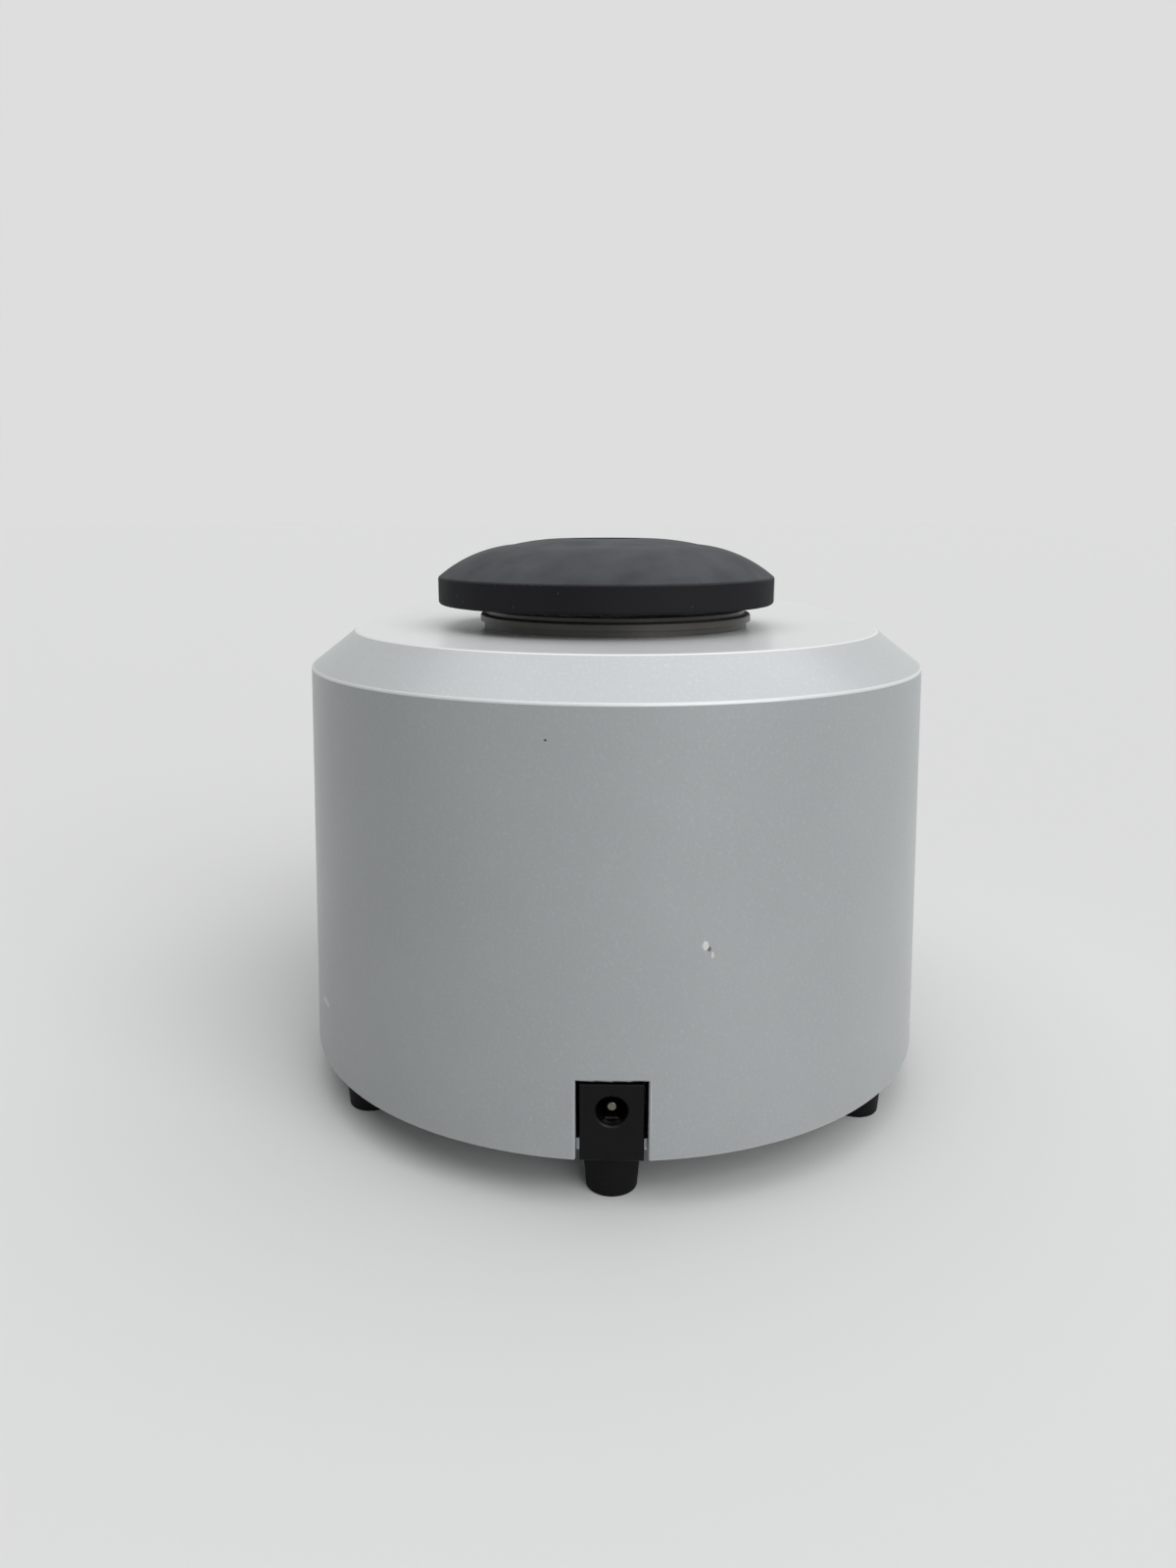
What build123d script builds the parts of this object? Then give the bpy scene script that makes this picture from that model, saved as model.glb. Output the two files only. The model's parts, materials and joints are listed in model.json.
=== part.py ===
# Laboratory vortex mixer: a horseshoe-shaped metal housing on rubber feet, with a round rubber
# head on top that orbits without turning. Millimetres, +Z up, control panel towards -Y, socket
# towards +Y. The origin is on the bench, under the middle of the whole instrument.
#
# A motor stands on a sprung plate. Its shaft carries a crank, whose pin turns in a ball bearing in
# the orbiting hub. Rubber posts keep the hub from turning. Pressing the head lowers the motor
# plate on its three posts and closes a small switch.
import os
from math import cos, hypot, radians, sin, tan

from build123d import *

os.makedirs("parts", exist_ok=True)

# Housing
base_radius = 75.0  # rear half circle of the plan, at the rim
bench_gap = 10.5  # bench to the rim of the housing
wall_height = 91.0  # rim to shoulder
wall_draft = 1.9  # degrees
slope_height = 8.0  # shoulder to the flat top
slope_inset = 10.4
front_inset = 3.0  # the same at the front, where the slope is steeper
side_toe = 3.2  # degrees, how far each side closes towards the front
front_reach = 94.0  # drive axis to the foot of the front face
panel_lean = 7.0  # degrees, front face leaning back
wall = 2.5
corner_round = 3.0
edge_round = 0.7
rim_round = 0.5  # the rim and the edges of the notch
small_round = 0.4  # moulded edges

# Gaps
fit_gap = 0.15  # between pieces that are fixed together
run_gap = 0.08  # radius of a shaft to the radius of its bearing
move_gap = 0.4  # between pieces that move past each other

# Base
plate_thickness = 6.0
plate_recess = 0.8  # rim to the underside of the base plate
head_sink = 0.6  # underside of the base plate to the heads of its screws
foot_top_radius = 6.2
foot_bottom_radius = 5.3
foot_inset = 9.5  # outside of the housing to the rear feet
foot_angles = (30.0, 90.0, 150.0)  # degrees from +X
front_foot_side = 20.0  # side of the housing to the front feet
front_foot_inset = 14.0  # front face to the front feet
boss_inset = 13.0  # outside of the housing to the rear bosses
boss_angles = (50.0, 130.0)
front_boss_side = 9.0
front_boss_inset = 24.0

# Screws: shank radius, head radius and head height, and the key's shares of the head
key_width = 0.55
key_depth = 0.6
m3 = 1.5
m3_head = 2.8
m3_head_height = 1.8
m4 = 2.0
m4_head = 3.8
m4_head_height = 2.4

# Front panel and its controls, measured in the leaning plane of the front face
panel_side = 17.0  # side of the housing to the panel, at the foot
panel_foot = 7.0  # foot of the front face to the panel
panel_head = 7.5  # panel to the shoulder
panel_round = 6.0
panel_sink = 0.5  # panel face behind the housing face
panel_lip = 6.0  # panel behind the edge of its window
panel_lip_thickness = 2.0
panel_screw_skin = 0.5  # housing face to the blind holes of the panel's screws
knob_radius = 19.0
knob_height = 15.0
knob_skirt_radius = 22.0
knob_skirt_height = 3.0
knob_flutes = 24
knob_turn_start = 150.0  # degrees from the top to the zero mark
rocker_drop = 6.0  # below the middle of the panel
rocker_width = 11.0
rocker_length = 19.0
bezel_border = 2.0
bezel_height = 1.4
bezel_wall = 0.9
rocker_gap = 0.3
rocker_tilt = 10.0  # degrees, either way from off
lens_radius = 2.5
lens_gap = 5.0  # frame of the rocker to the indicator lens
board_gap = 14.0  # panel back to the circuit board
board_thickness = 1.6
board_side = 9.0  # side of the panel to the board
board_foot = 12.0  # top or foot of the panel to the board
board_screw_inset = 4.0
pot_shaft_radius = 3.0

# Socket at the rear
notch_width = 14.4
notch_height = 16.9
block_margin = 0.75
block_recess = 1.4
block_depth = 17.0
apron = 1.6
apron_drop = 0.6  # rim to the foot of the apron
socket_rise = 10.2  # rim to the socket axis
plug_radius = 3.2
plug_depth = 10.0
contact_pin_radius = 1.05
contact_pin_length = 8.0
contact_stem_radius = 0.8  # where the pin passes through the block
contact_tail = 3.0  # behind the block

# Head
head_radius = 40.0
head_gap = 5.4  # flat top to the underside of the head
band_height = 6.2
dome_height = 8.9
crown_radius = 22.0
crown_drop = 1.4
cup_radius = 8.5
cup_bottom_radius = 5.5
cup_depth = 7.5
skirt_radius = 37.0
skirt_lift = 1.4
lip_radius = 30.0
lip_thickness = 1.3
disc_radius = 34.0
disc_thickness = 2.8
disc_screw_circle = 9.0

# Collar round the hole in the top
collar_radius = 32.4
collar_height = 3.2
collar_foot = 1.5  # the part that stands back below the lip
collar_foot_inset = 0.9
collar_step_radius = 31.0
collar_step = 1.1
collar_hole = 26.0
collar_spigot = 28.0

# Drive
crank_throw = 2.25
press_travel = 1.5
motor_plate_drop = 30.5  # flat top to the motor plate
motor_plate_thickness = 3.0
motor_plate_radius = 40.0
motor_radius = 25.0
motor_room = 10.7  # base plate to the motor
motor_wall = 1.5
shaft_radius = 3.0
guide_inset = 25.0  # outside of the housing to the rear posts
guide_angles = (30.0, 150.0)
front_guide_inset = 44.0  # front face to the front post
guide_radius = 5.0
guide_neck_radius = 3.0
spring_length = 12.0
spring_wire = 0.9
spring_turns = 4
crank_radius = 9.0
crank_rise = 2.5  # motor plate to the crank
crank_height = 12.5
pin_radius = 4.0
pin_end = 0.3  # crank pin beyond its bearing
weight_radius = 27.0
weight_height = 8.0
weight_angle = 150.0  # degrees
hub_flange_rise = 1.0  # crank to the hub's flange
hub_flange_thickness = 3.0
hub_flange_radius = 38.5
hub_radius = 13.5
flex_circle = 33.5
flex_radius = 4.0
flex_angles = (90.0, 210.0, 330.0)
bearing_radius = 11.0
bearing_width = 7.0
bearing_race = 1.9
ball_radius = 1.9
ball_count = 7
circlip_rise = 1.0  # flange to the circlip
circlip_thickness = 1.0
circlip_depth = 0.6
hub_relief = 8.0
bush_flange = 0.8
bush_radius = 4.6
bush_flange_radius = 6.4

# Touch switch under the motor plate
switch_radius_out = 33.0
switch_length = 20.0
switch_width = 6.4
switch_height = 10.2
switch_drop = 4.0  # motor plate to the switch
lever_length = 15.0
lever_thickness = 0.5
plunger_place = 5.0  # lever hinge to the plunger
plunger_radius = 0.9

# Sizes that follow from those above
lean = radians(panel_lean)
rim_z = bench_gap
shoulder_z = rim_z + wall_height
top_z = shoulder_z + slope_height
shoulder_radius = base_radius - wall_height * tan(radians(wall_draft))
top_radius = shoulder_radius - slope_inset
front_half_width = base_radius * cos(radians(side_toe)) - tan(radians(side_toe)) * (
    front_reach - base_radius * sin(radians(side_toe))
)
panel_width = 2 * (front_half_width - panel_side)
panel_height = wall_height / cos(lean) - panel_foot - panel_head
panel_middle = panel_foot + panel_height / 2
knob_top = move_gap + knob_skirt_height + knob_height
knob_rise = (knob_top - panel_sink) * cos(lean) - (panel_middle - knob_radius) * sin(lean)
whole_depth = base_radius + front_reach + max(knob_rise, 0.0)
drive_y = whole_depth / 2 - base_radius
front_y = drive_y - front_reach
throw_x = crank_throw
plate_bottom_z = rim_z + plate_recess
plate_top_z = plate_bottom_z + plate_thickness
head_bottom_z = top_z + head_gap
band_top_z = head_bottom_z + band_height
head_top_z = band_top_z + dome_height
lip_bottom_z = head_bottom_z + skirt_lift
disc_bottom_z = lip_bottom_z + lip_thickness
disc_top_z = disc_bottom_z + disc_thickness
motor_plate_top = top_z - motor_plate_drop
motor_plate_bottom = motor_plate_top - motor_plate_thickness
motor_bottom = plate_top_z + motor_room
crank_bottom = motor_plate_top + crank_rise
crank_top = crank_bottom + crank_height
hub_flange_bottom = crank_top + hub_flange_rise
switch_top = motor_plate_bottom - switch_drop
bearing_bottom = hub_flange_bottom + circlip_rise + circlip_thickness
bearing_top = bearing_bottom + bearing_width
pin_top = bearing_top + pin_end
ball_circle = (pin_radius + bearing_radius) / 2
guide_shoulder = motor_plate_bottom - spring_length
plate_stop = motor_plate_top + bush_flange + fit_gap
rear_y = drive_y + base_radius
block_face_y = rear_y - block_recess
socket_z = rim_z + socket_rise
foot_circle = base_radius - foot_inset
frame_width = rocker_width + 2 * (rocker_gap + bezel_wall)
frame_length = rocker_length + 2 * (rocker_gap + bezel_wall)
bezel_half_width = frame_width / 2 + bezel_border
control_margin = (panel_width - 2 * knob_skirt_radius - 2 * bezel_half_width) / 3
knob_x = panel_width / 2 - control_margin - knob_skirt_radius
rocker_x = control_margin + bezel_half_width - panel_width / 2

panel_plane = Plane(
    origin=(0, front_y, rim_z), x_dir=(1, 0, 0), z_dir=(0, -cos(lean), sin(lean))
)
panel_face = panel_plane.offset(-panel_sink)
panel_thickness = wall + fit_gap + panel_lip_thickness - panel_sink
panel_back = panel_face.offset(-panel_thickness)
board_plane = panel_back.offset(-board_gap)


def level(height):
    """A level plane at this height, with its origin on the drive axis."""
    return Plane(origin=(0, drive_y, height))


def head_level(height):
    """A level plane at this height, with its origin on the axis of the head."""
    return Plane(origin=(throw_x, drive_y, height))


def around(circle, angles):
    """Places on a circle round the origin of a plane, at angles in degrees."""
    return [(circle * cos(radians(a)), circle * sin(radians(a))) for a in angles]


def horseshoe(radius, height, front, corner):
    """The plan of the housing: a rear arc, two sides that close slightly, and a straight front."""
    toe = radians(side_toe)
    side = (radius * cos(toe), drive_y - radius * sin(toe))
    nose = side[0] - (side[1] - front) * tan(toe)
    with BuildSketch(Plane.XY.offset(height)) as outline:
        with BuildLine():
            ThreePointArc(side, (0, drive_y + radius), (-side[0], side[1]))
            Polyline((-side[0], side[1]), (-nose, front), (nose, front), side)
        make_face()
        fillet(outline.vertices().group_by(Axis.Y)[0], corner)
    return outline.sketch


def front_at(height, inset):
    """How far forward the leaning front face stands at a height, grown inwards by an inset."""
    return front_y + inset / cos(lean) + (height - rim_z) * tan(lean)


def housing_form(inset, bottom):
    """The body of the housing, grown inwards by an inset, from a bottom height up."""
    corner = corner_round - inset / 2
    radii = (
        base_radius - inset - (bottom - rim_z) * tan(radians(wall_draft)),
        shoulder_radius - inset,
        top_radius - inset / 2,
    )
    heights = (bottom, shoulder_z - inset / 2, top_z - inset)
    fronts = (
        front_at(bottom, inset),
        front_at(heights[1], inset),
        front_at(shoulder_z, 0) + front_inset + inset / 2,
    )
    with BuildPart() as form:
        for below, above in ((0, 1), (1, 2)):
            for step in (below, above):
                add(horseshoe(radii[step], heights[step], fronts[step], corner))
            loft()
    return form.part


# Places of the fixings, from the drive axis
boss_radius = 4.5
boss_height = 22.0
boss_cap = 4.0  # above the screw's hole
boss_rib = 2.5
front_boss_x = front_half_width - front_boss_side
front_foot_x = front_half_width - front_foot_side
front_boss_places = [(x, front_boss_inset - front_reach) for x in (front_boss_x, -front_boss_x)]
boss_places = around(base_radius - boss_inset, boss_angles) + front_boss_places
boss_turns = boss_angles + (0.0, 180.0)  # degrees, which way each boss's rib runs to the wall
front_foot_places = [(x, front_foot_inset - front_reach) for x in (front_foot_x, -front_foot_x)]
foot_places = around(foot_circle, foot_angles) + front_foot_places
guide_places = around(base_radius - guide_inset, guide_angles) + [(0.0, front_guide_inset - front_reach)]
flex_places = around(flex_circle, flex_angles)
base_screw_places = boss_places + guide_places
panel_screw_places = [
    (x, panel_middle + y)
    for x in (-(panel_width + panel_lip) / 2, (panel_width + panel_lip) / 2)
    for y in (-panel_height / 4, panel_height / 4)
]
knob_place = (knob_x, panel_middle)
rocker_place = (rocker_x, panel_middle - rocker_drop)
lens_place = (rocker_x, rocker_place[1] + frame_length / 2 + bezel_border + lens_gap + lens_radius)
board_width = panel_width - 2 * board_side
board_height = panel_height - 2 * board_foot
pillar_radius = 3.0
pillar_root = 2.0  # panel to the end of a pillar's screw hole
board_screw_places = [
    (x, panel_middle + y)
    for x in (board_screw_inset - board_width / 2, board_width / 2 - board_screw_inset)
    for y in (board_screw_inset - board_height / 2, board_height / 2 - board_screw_inset)
]


bracket_thickness = 1.5
bracket_x = -switch_radius_out - switch_width / 2 - fit_gap
bracket_foot = 13.0
bracket_screw_edge = 4.0  # end of the foot to its screws
bracket_screw_side = 5.0
bracket_screw_reach = 4.5  # into the base plate
bracket_screw_places = [
    (bracket_x - bracket_foot + bracket_screw_edge, y) for y in (-bracket_screw_side, bracket_screw_side)
]


def screw(shank_radius, length, head_radius, head_height):
    """A socket screw that points up from the origin, where the underside of its head lies."""
    with BuildPart() as fastener:
        with BuildSketch():
            Circle(head_radius)
        extrude(amount=-head_height)
        chamfer(fastener.edges().group_by(Axis.Z)[0], head_height / 6)
        with BuildSketch(Plane.XY.offset(-head_height)):
            RegularPolygon(head_radius * key_width, 6)
        extrude(amount=head_height * key_depth, mode=Mode.SUBTRACT)
        with BuildSketch():
            Circle(shank_radius)
        extrude(amount=length)
    return fastener.part


# The cast bosses that the base plate is screwed to, each tied to the wall by a rib
with BuildPart() as bosses:
    with BuildSketch(level(plate_top_z)):
        with Locations(*boss_places):
            Circle(boss_radius)
        with Locations(*[Location((x, y, 0), turn) for (x, y), turn in zip(boss_places, boss_turns)]):
            Rectangle(boss_inset, boss_rib, align=(Align.MIN, Align.CENTER))
    extrude(amount=boss_height)
    add(housing_form(wall / 2, rim_z), mode=Mode.INTERSECT)

# Housing: a cast shell, open below, with a window for the panel, a hole for the head's hub and a
# notch for the socket
with BuildPart() as housing:
    add(housing_form(0, rim_z))
    fillet(housing.edges().group_by(Axis.Z)[0], rim_round)
    fillet(housing.faces().sort_by(Axis.Z)[-1].edges(), edge_round)
    fillet(
        housing.edges().filter_by_position(Axis.Z, shoulder_z - 0.2, shoulder_z + 0.2),
        edge_round,
    )
    add(housing_form(wall, rim_z - 1.0), mode=Mode.SUBTRACT)
    add(bosses.part)
    with BuildSketch(panel_plane):
        with Locations((0, panel_middle)):
            RectangleRounded(panel_width, panel_height, panel_round)
    extrude(amount=-2 * wall, mode=Mode.SUBTRACT)
    with BuildSketch(panel_plane.offset(-wall)):
        with Locations(*panel_screw_places):
            Circle(m3 + fit_gap / 2)
    extrude(amount=wall - panel_screw_skin, mode=Mode.SUBTRACT)
    with BuildSketch(level(top_z)):
        Circle(collar_spigot)
    extrude(amount=-2 * wall, mode=Mode.SUBTRACT)
    with BuildSketch(Plane(origin=(0, drive_y, rim_z), x_dir=(1, 0, 0), z_dir=(0, 1, 0))):
        Rectangle(notch_width, 2 * notch_height)
    extrude(amount=base_radius + wall, mode=Mode.SUBTRACT)
    notch_edges = housing.edges().filter_by_position(Axis.Y, rear_y - wall / 2, rear_y)
    notch_edges = notch_edges.filter_by_position(Axis.X, -notch_width / 2 - 0.1, notch_width / 2 + 0.1)
    fillet(notch_edges.filter_by(lambda edge: edge.length > 2 * rim_round), rim_round)
    with BuildSketch(level(plate_top_z)):
        with Locations(*boss_places):
            Circle(m4 + fit_gap)
    extrude(amount=boss_height - boss_cap, mode=Mode.SUBTRACT)
housing.part.label = "housing"
export_step(housing.part, "parts/housing.step")

# Base plate: a thick steel plate inside the rim, pocketed for the socket block
pocket_floor = 2.5
with BuildPart() as base_plate:
    plate_radius = base_radius - wall - move_gap - plate_thickness * tan(radians(wall_draft))
    lip_back = wall + fit_gap + panel_lip_thickness
    plate_front = front_y + lip_back / cos(lean) + (plate_top_z - rim_z) * tan(lean) + move_gap
    add(horseshoe(plate_radius, plate_bottom_z, plate_front, corner_round))
    extrude(amount=plate_thickness)
    with BuildSketch(Plane(origin=(0, rear_y, plate_bottom_z + pocket_floor))):
        Rectangle(notch_width, 2 * (block_recess + block_depth + contact_tail + move_gap))
    extrude(amount=plate_thickness, mode=Mode.SUBTRACT)
    with BuildSketch(Plane(origin=(0, rear_y, plate_bottom_z))):
        Rectangle(notch_width, 2 * (block_recess + apron + move_gap))
    extrude(amount=plate_thickness, mode=Mode.SUBTRACT)
    with Locations(level(plate_bottom_z)):
        with Locations(*[Location((x, y, 0), (180, 0, 0)) for x, y in base_screw_places]):
            CounterBoreHole(m4 + fit_gap, m4_head + fit_gap, m4_head_height + head_sink, plate_thickness)
        with Locations(*[Location((x, y, 0), (180, 0, 0)) for x, y in foot_places]):
            Hole(m4 + fit_gap / 2, plate_thickness)
        with Locations(*[Location((x, y, 0), (180, 0, 0)) for x, y in bracket_screw_places]):
            Hole(m3 + fit_gap / 2, plate_thickness)
base_plate.part.label = "base_plate"
export_step(base_plate.part, "parts/base_plate.step")

# Screws that go up through the base plate, into the bosses and the posts
base_screw_seat = plate_bottom_z + m4_head_height + head_sink
base_screw_length = 14.0
with BuildPart(level(base_screw_seat)) as base_screws:
    with Locations(*base_screw_places):
        add(screw(m4, base_screw_length, m4_head, m4_head_height))
base_screws.part.label = "base_screws"
export_step(base_screws.part, "parts/base_screws.step")

# Rubber feet, each with a recess for its screw
foot_seat = 4.0
foot_screw_length = 12.0
with BuildPart() as one_foot:
    with BuildSketch():
        Circle(foot_bottom_radius)
    with BuildSketch(Plane.XY.offset(plate_bottom_z)):
        Circle(foot_top_radius)
    loft()
    fillet(one_foot.edges().group_by(Axis.Z)[0], small_round)
    Hole(m4 + fit_gap / 2)
    with BuildSketch():
        Circle(m4_head + fit_gap)
    extrude(amount=foot_seat, mode=Mode.SUBTRACT)
with BuildPart(level(0)) as feet:
    with Locations(*foot_places):
        add(one_foot.part)
feet.part.label = "feet"
export_step(feet.part, "parts/feet.step")

with BuildPart(level(foot_seat)) as foot_screws:
    with Locations(*foot_places):
        add(screw(m4, foot_screw_length, m4_head, m4_head_height))
foot_screws.part.label = "foot_screws"
export_step(foot_screws.part, "parts/foot_screws.step")

# Front panel: a moulded fascia set into the window, with a lip behind the wall and four pillars
# for the circuit board
pot_bush_radius = 4.5
with BuildPart() as front_panel:
    with BuildSketch(panel_back):
        with Locations((0, panel_middle)):
            RectangleRounded(panel_width - 2 * fit_gap, panel_height - 2 * fit_gap, panel_round)
    extrude(amount=panel_thickness)
    with BuildSketch(panel_back):
        with Locations((0, panel_middle)):
            RectangleRounded(panel_width + 2 * panel_lip, panel_height + 2 * panel_lip, panel_round)
    extrude(amount=panel_lip_thickness)
    with BuildSketch(panel_back):
        with Locations(*board_screw_places):
            Circle(pillar_radius)
    extrude(amount=-board_gap)
    with BuildSketch(panel_face):
        with Locations(knob_place):
            Circle(pot_bush_radius + fit_gap)
        with Locations(rocker_place):
            Rectangle(frame_width + 2 * fit_gap, frame_length + 2 * fit_gap)
        with Locations(lens_place):
            Circle(lens_radius + fit_gap)
        with Locations(*panel_screw_places):
            Circle(m3 + fit_gap)
    extrude(amount=-panel_thickness, mode=Mode.SUBTRACT)
    with BuildSketch(board_plane):
        with Locations(*board_screw_places):
            Circle(m3 - fit_gap)
    extrude(amount=board_gap - pillar_root, mode=Mode.SUBTRACT)
front_panel.part.label = "front_panel"
export_step(front_panel.part, "parts/front_panel.step")

panel_screw_length = lip_back - panel_screw_skin - fit_gap
with BuildPart(panel_back) as panel_screws:
    with Locations(*panel_screw_places):
        add(screw(m3, panel_screw_length, m3_head, m3_head_height))
panel_screws.part.label = "panel_screws"
export_step(panel_screws.part, "parts/panel_screws.step")

# Collar: a moulded ring in the hole of the flat top, held by four barbs under the roof
collar_round = 0.6
spigot_depth = 2.2  # below the roof
barb_angle = 24.0
barb_reach = 0.8
barb_root = 1.0
with BuildPart() as top_collar:
    with BuildSketch(level(top_z)):
        Circle(collar_radius - collar_foot_inset)
        Circle(collar_hole, mode=Mode.SUBTRACT)
    extrude(amount=collar_foot)
    with BuildSketch(level(top_z + collar_foot)):
        Circle(collar_radius)
        Circle(collar_hole, mode=Mode.SUBTRACT)
    extrude(amount=collar_height - collar_foot)
    fillet(top_collar.edges().group_by(Axis.Z)[-1].sort_by(SortBy.RADIUS)[-1], collar_round)
    with BuildSketch(level(top_z + collar_height)):
        Circle(collar_step_radius)
        Circle(collar_hole, mode=Mode.SUBTRACT)
    extrude(amount=collar_step)
    fillet(top_collar.edges().group_by(Axis.Z)[-1].sort_by(SortBy.RADIUS)[-1], small_round)
    with BuildSketch(level(top_z)):
        Circle(collar_spigot - fit_gap)
        Circle(collar_hole, mode=Mode.SUBTRACT)
    extrude(amount=-wall - spigot_depth)
    with BuildSketch(Plane(origin=(0, drive_y, 0), x_dir=(1, 0, 0), z_dir=(0, -1, 0))) as barb:
        with BuildLine():
            Polyline(
                (collar_spigot - barb_root, top_z - wall - fit_gap),
                (collar_spigot + barb_reach, top_z - wall - fit_gap),
                (collar_spigot - barb_root, top_z - wall - spigot_depth + fit_gap),
                close=True,
            )
        make_face()
    barb_axis = Axis((0, drive_y, 0), (0, 0, 1))
    for turn in range(0, 360, 90):
        revolve(barb.sketch.rotate(barb_axis, turn - barb_angle / 2), barb_axis, barb_angle)
top_collar.part.label = "top_collar"
export_step(top_collar.part, "parts/top_collar.step")

# Socket block: it slides up into the notch, stands on the floor of the pocket and comes down in
# front of it, and the rear foot's screw holds it
block_width = notch_width - 2 * block_margin
block_top_z = rim_z + notch_height - block_margin
block_bottom_z = plate_bottom_z + pocket_floor + fit_gap
rear_foot_y = drive_y + foot_circle
socket_plane = Plane(origin=(0, block_face_y, socket_z), x_dir=(-1, 0, 0), z_dir=(0, 1, 0))
leaf_width = 2.6
leaf_thickness = 0.4
leaf_drop = 2.85  # socket axis to the underside of the leaf
mouth_chamfer = 0.3
apron_overlap = 1.0  # up behind the face of the block
with BuildPart() as socket_block:
    with BuildSketch(Plane(origin=(0, block_face_y, block_bottom_z))):
        Rectangle(block_width, 2 * block_depth)
        with Locations((0, block_depth)):
            Rectangle(block_width, 2 * block_depth, mode=Mode.SUBTRACT)
    extrude(amount=block_top_z - block_bottom_z)
    with BuildSketch(Plane(origin=(0, block_face_y - apron / 2, rim_z - apron_drop))):
        Rectangle(block_width, apron)
    extrude(amount=block_bottom_z + apron_overlap + apron_drop - rim_z)
    fillet(socket_block.faces().sort_by(Axis.Y)[-1].edges(), small_round)
    with BuildSketch(socket_plane):
        Circle(plug_radius)
    extrude(amount=-plug_depth, mode=Mode.SUBTRACT)
    with BuildSketch(socket_plane.offset(-plug_depth)):
        Circle(contact_stem_radius + fit_gap / 2)
        with Locations((0, leaf_thickness / 2 - leaf_drop)):
            Rectangle(leaf_width + 2 * fit_gap, leaf_thickness + fit_gap)
    extrude(amount=plug_depth - block_depth, mode=Mode.SUBTRACT)
    with BuildSketch(Plane(origin=(0, rear_foot_y, block_bottom_z))):
        Circle(m4 + fit_gap / 2)
    extrude(amount=foot_seat + foot_screw_length + fit_gap - block_bottom_z, mode=Mode.SUBTRACT)
    mouth = socket_block.edges().filter_by(GeomType.CIRCLE).filter_by_position(
        Axis.Y, block_face_y - 0.1, block_face_y + 0.1
    )
    chamfer(mouth.sort_by(SortBy.RADIUS)[-1], mouth_chamfer)
socket_block.part.label = "socket_block"
export_step(socket_block.part, "parts/socket_block.step")

# The socket's centre pin and its spring leaf, both with a tail behind the block for a wire
pin_set_back = plug_depth - contact_pin_length
with BuildPart() as socket_pin:
    with BuildSketch(socket_plane.offset(-pin_set_back)):
        Circle(contact_pin_radius)
    extrude(amount=-contact_pin_length)
    fillet(socket_pin.edges().sort_by(Axis.Y)[-1], small_round)
    with BuildSketch(socket_plane.offset(-plug_depth)):
        Circle(contact_stem_radius)
    extrude(amount=plug_depth - block_depth - contact_tail)
socket_pin.part.label = "socket_pin"
export_step(socket_pin.part, "parts/socket_pin.step")

leaf_set_back = 2.5
leaf_front_y = block_face_y - leaf_set_back
leaf_bend = 2.0
leaf_bump = 0.35
leaf_back_y = block_face_y - block_depth - contact_tail
leaf_z = socket_z - leaf_drop
with BuildPart() as socket_leaf:
    with BuildSketch(Plane(origin=(-leaf_width / 2, 0, 0), x_dir=(0, 1, 0), z_dir=(1, 0, 0))):
        with BuildLine():
            Polyline(
                (leaf_back_y, leaf_z),
                (leaf_front_y - 2 * leaf_bend, leaf_z),
                (leaf_front_y - leaf_bend, leaf_z + leaf_bump),
                (leaf_front_y, leaf_z),
                (leaf_front_y, leaf_z + leaf_thickness),
                (leaf_front_y - leaf_bend, leaf_z + leaf_bump + leaf_thickness),
                (leaf_front_y - 2 * leaf_bend, leaf_z + leaf_thickness),
                (leaf_back_y, leaf_z + leaf_thickness),
                close=True,
            )
        make_face()
    extrude(amount=leaf_width)
socket_leaf.part.label = "socket_leaf"
export_step(socket_leaf.part, "parts/socket_leaf.step")

# Circuit board on the pillars behind the panel, with what is soldered to it
board_back = board_plane.offset(-board_thickness)
board_round = 2.0
board_screw_reach = 6.0  # into the pillars
with BuildPart() as circuit_board:
    with BuildSketch(board_plane):
        with Locations((0, panel_middle)):
            RectangleRounded(board_width, board_height, board_round)
        with Locations(*board_screw_places):
            Circle(m3 + fit_gap, mode=Mode.SUBTRACT)
    extrude(amount=-board_thickness)
circuit_board.part.label = "circuit_board"
export_step(circuit_board.part, "parts/circuit_board.step")

with BuildPart(board_back) as board_screws:
    with Locations(*board_screw_places):
        add(screw(m3 - 2 * fit_gap, board_thickness + board_screw_reach, m3_head, m3_head_height))
board_screws.part.label = "board_screws"
export_step(board_screws.part, "parts/board_screws.step")

board_end = board_width / 2
board_edge = board_height / 2
capacitor_radius = 5.0
capacitor_height = 12.5
capacitor_round = 0.8
capacitor_inset = 20.0  # end of the board to the capacitors
capacitor_edge = 14.0  # lower edge of the board to the first, and from one to the next
capacitor_places = [
    (capacitor_inset - board_end, panel_middle - board_edge + row * capacitor_edge) for row in (1, 2)
]
with BuildPart(board_back) as capacitors:
    with Locations(*capacitor_places):
        Cylinder(
            capacitor_radius,
            capacitor_height,
            rotation=(180, 0, 0),
            align=(Align.CENTER, Align.CENTER, Align.MIN),
        )
    fillet(capacitors.edges().group_by(Axis((0, 0, 0), board_back.z_dir))[0], capacitor_round)
capacitors.part.label = "capacitors"
export_step(capacitors.part, "parts/capacitors.step")

chip_width = 20.0
chip_length = 16.0
chip_height = 4.5
chip_draft = 0.5
chip_inset = 20.0
chip_edge = 14.0
chip_place = (board_end - chip_inset, panel_middle + board_edge - chip_edge)
sink_border = 2.0  # heat sink beyond the chip
fin_count = 6
with BuildPart() as driver_chip:
    with BuildSketch(board_back):
        with Locations(chip_place):
            Rectangle(chip_width, chip_length)
    extrude(amount=-chip_height)
    chamfer(driver_chip.edges().filter_by(Axis.X), chip_draft)
driver_chip.part.label = "driver_chip"
export_step(driver_chip.part, "parts/driver_chip.step")

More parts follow.
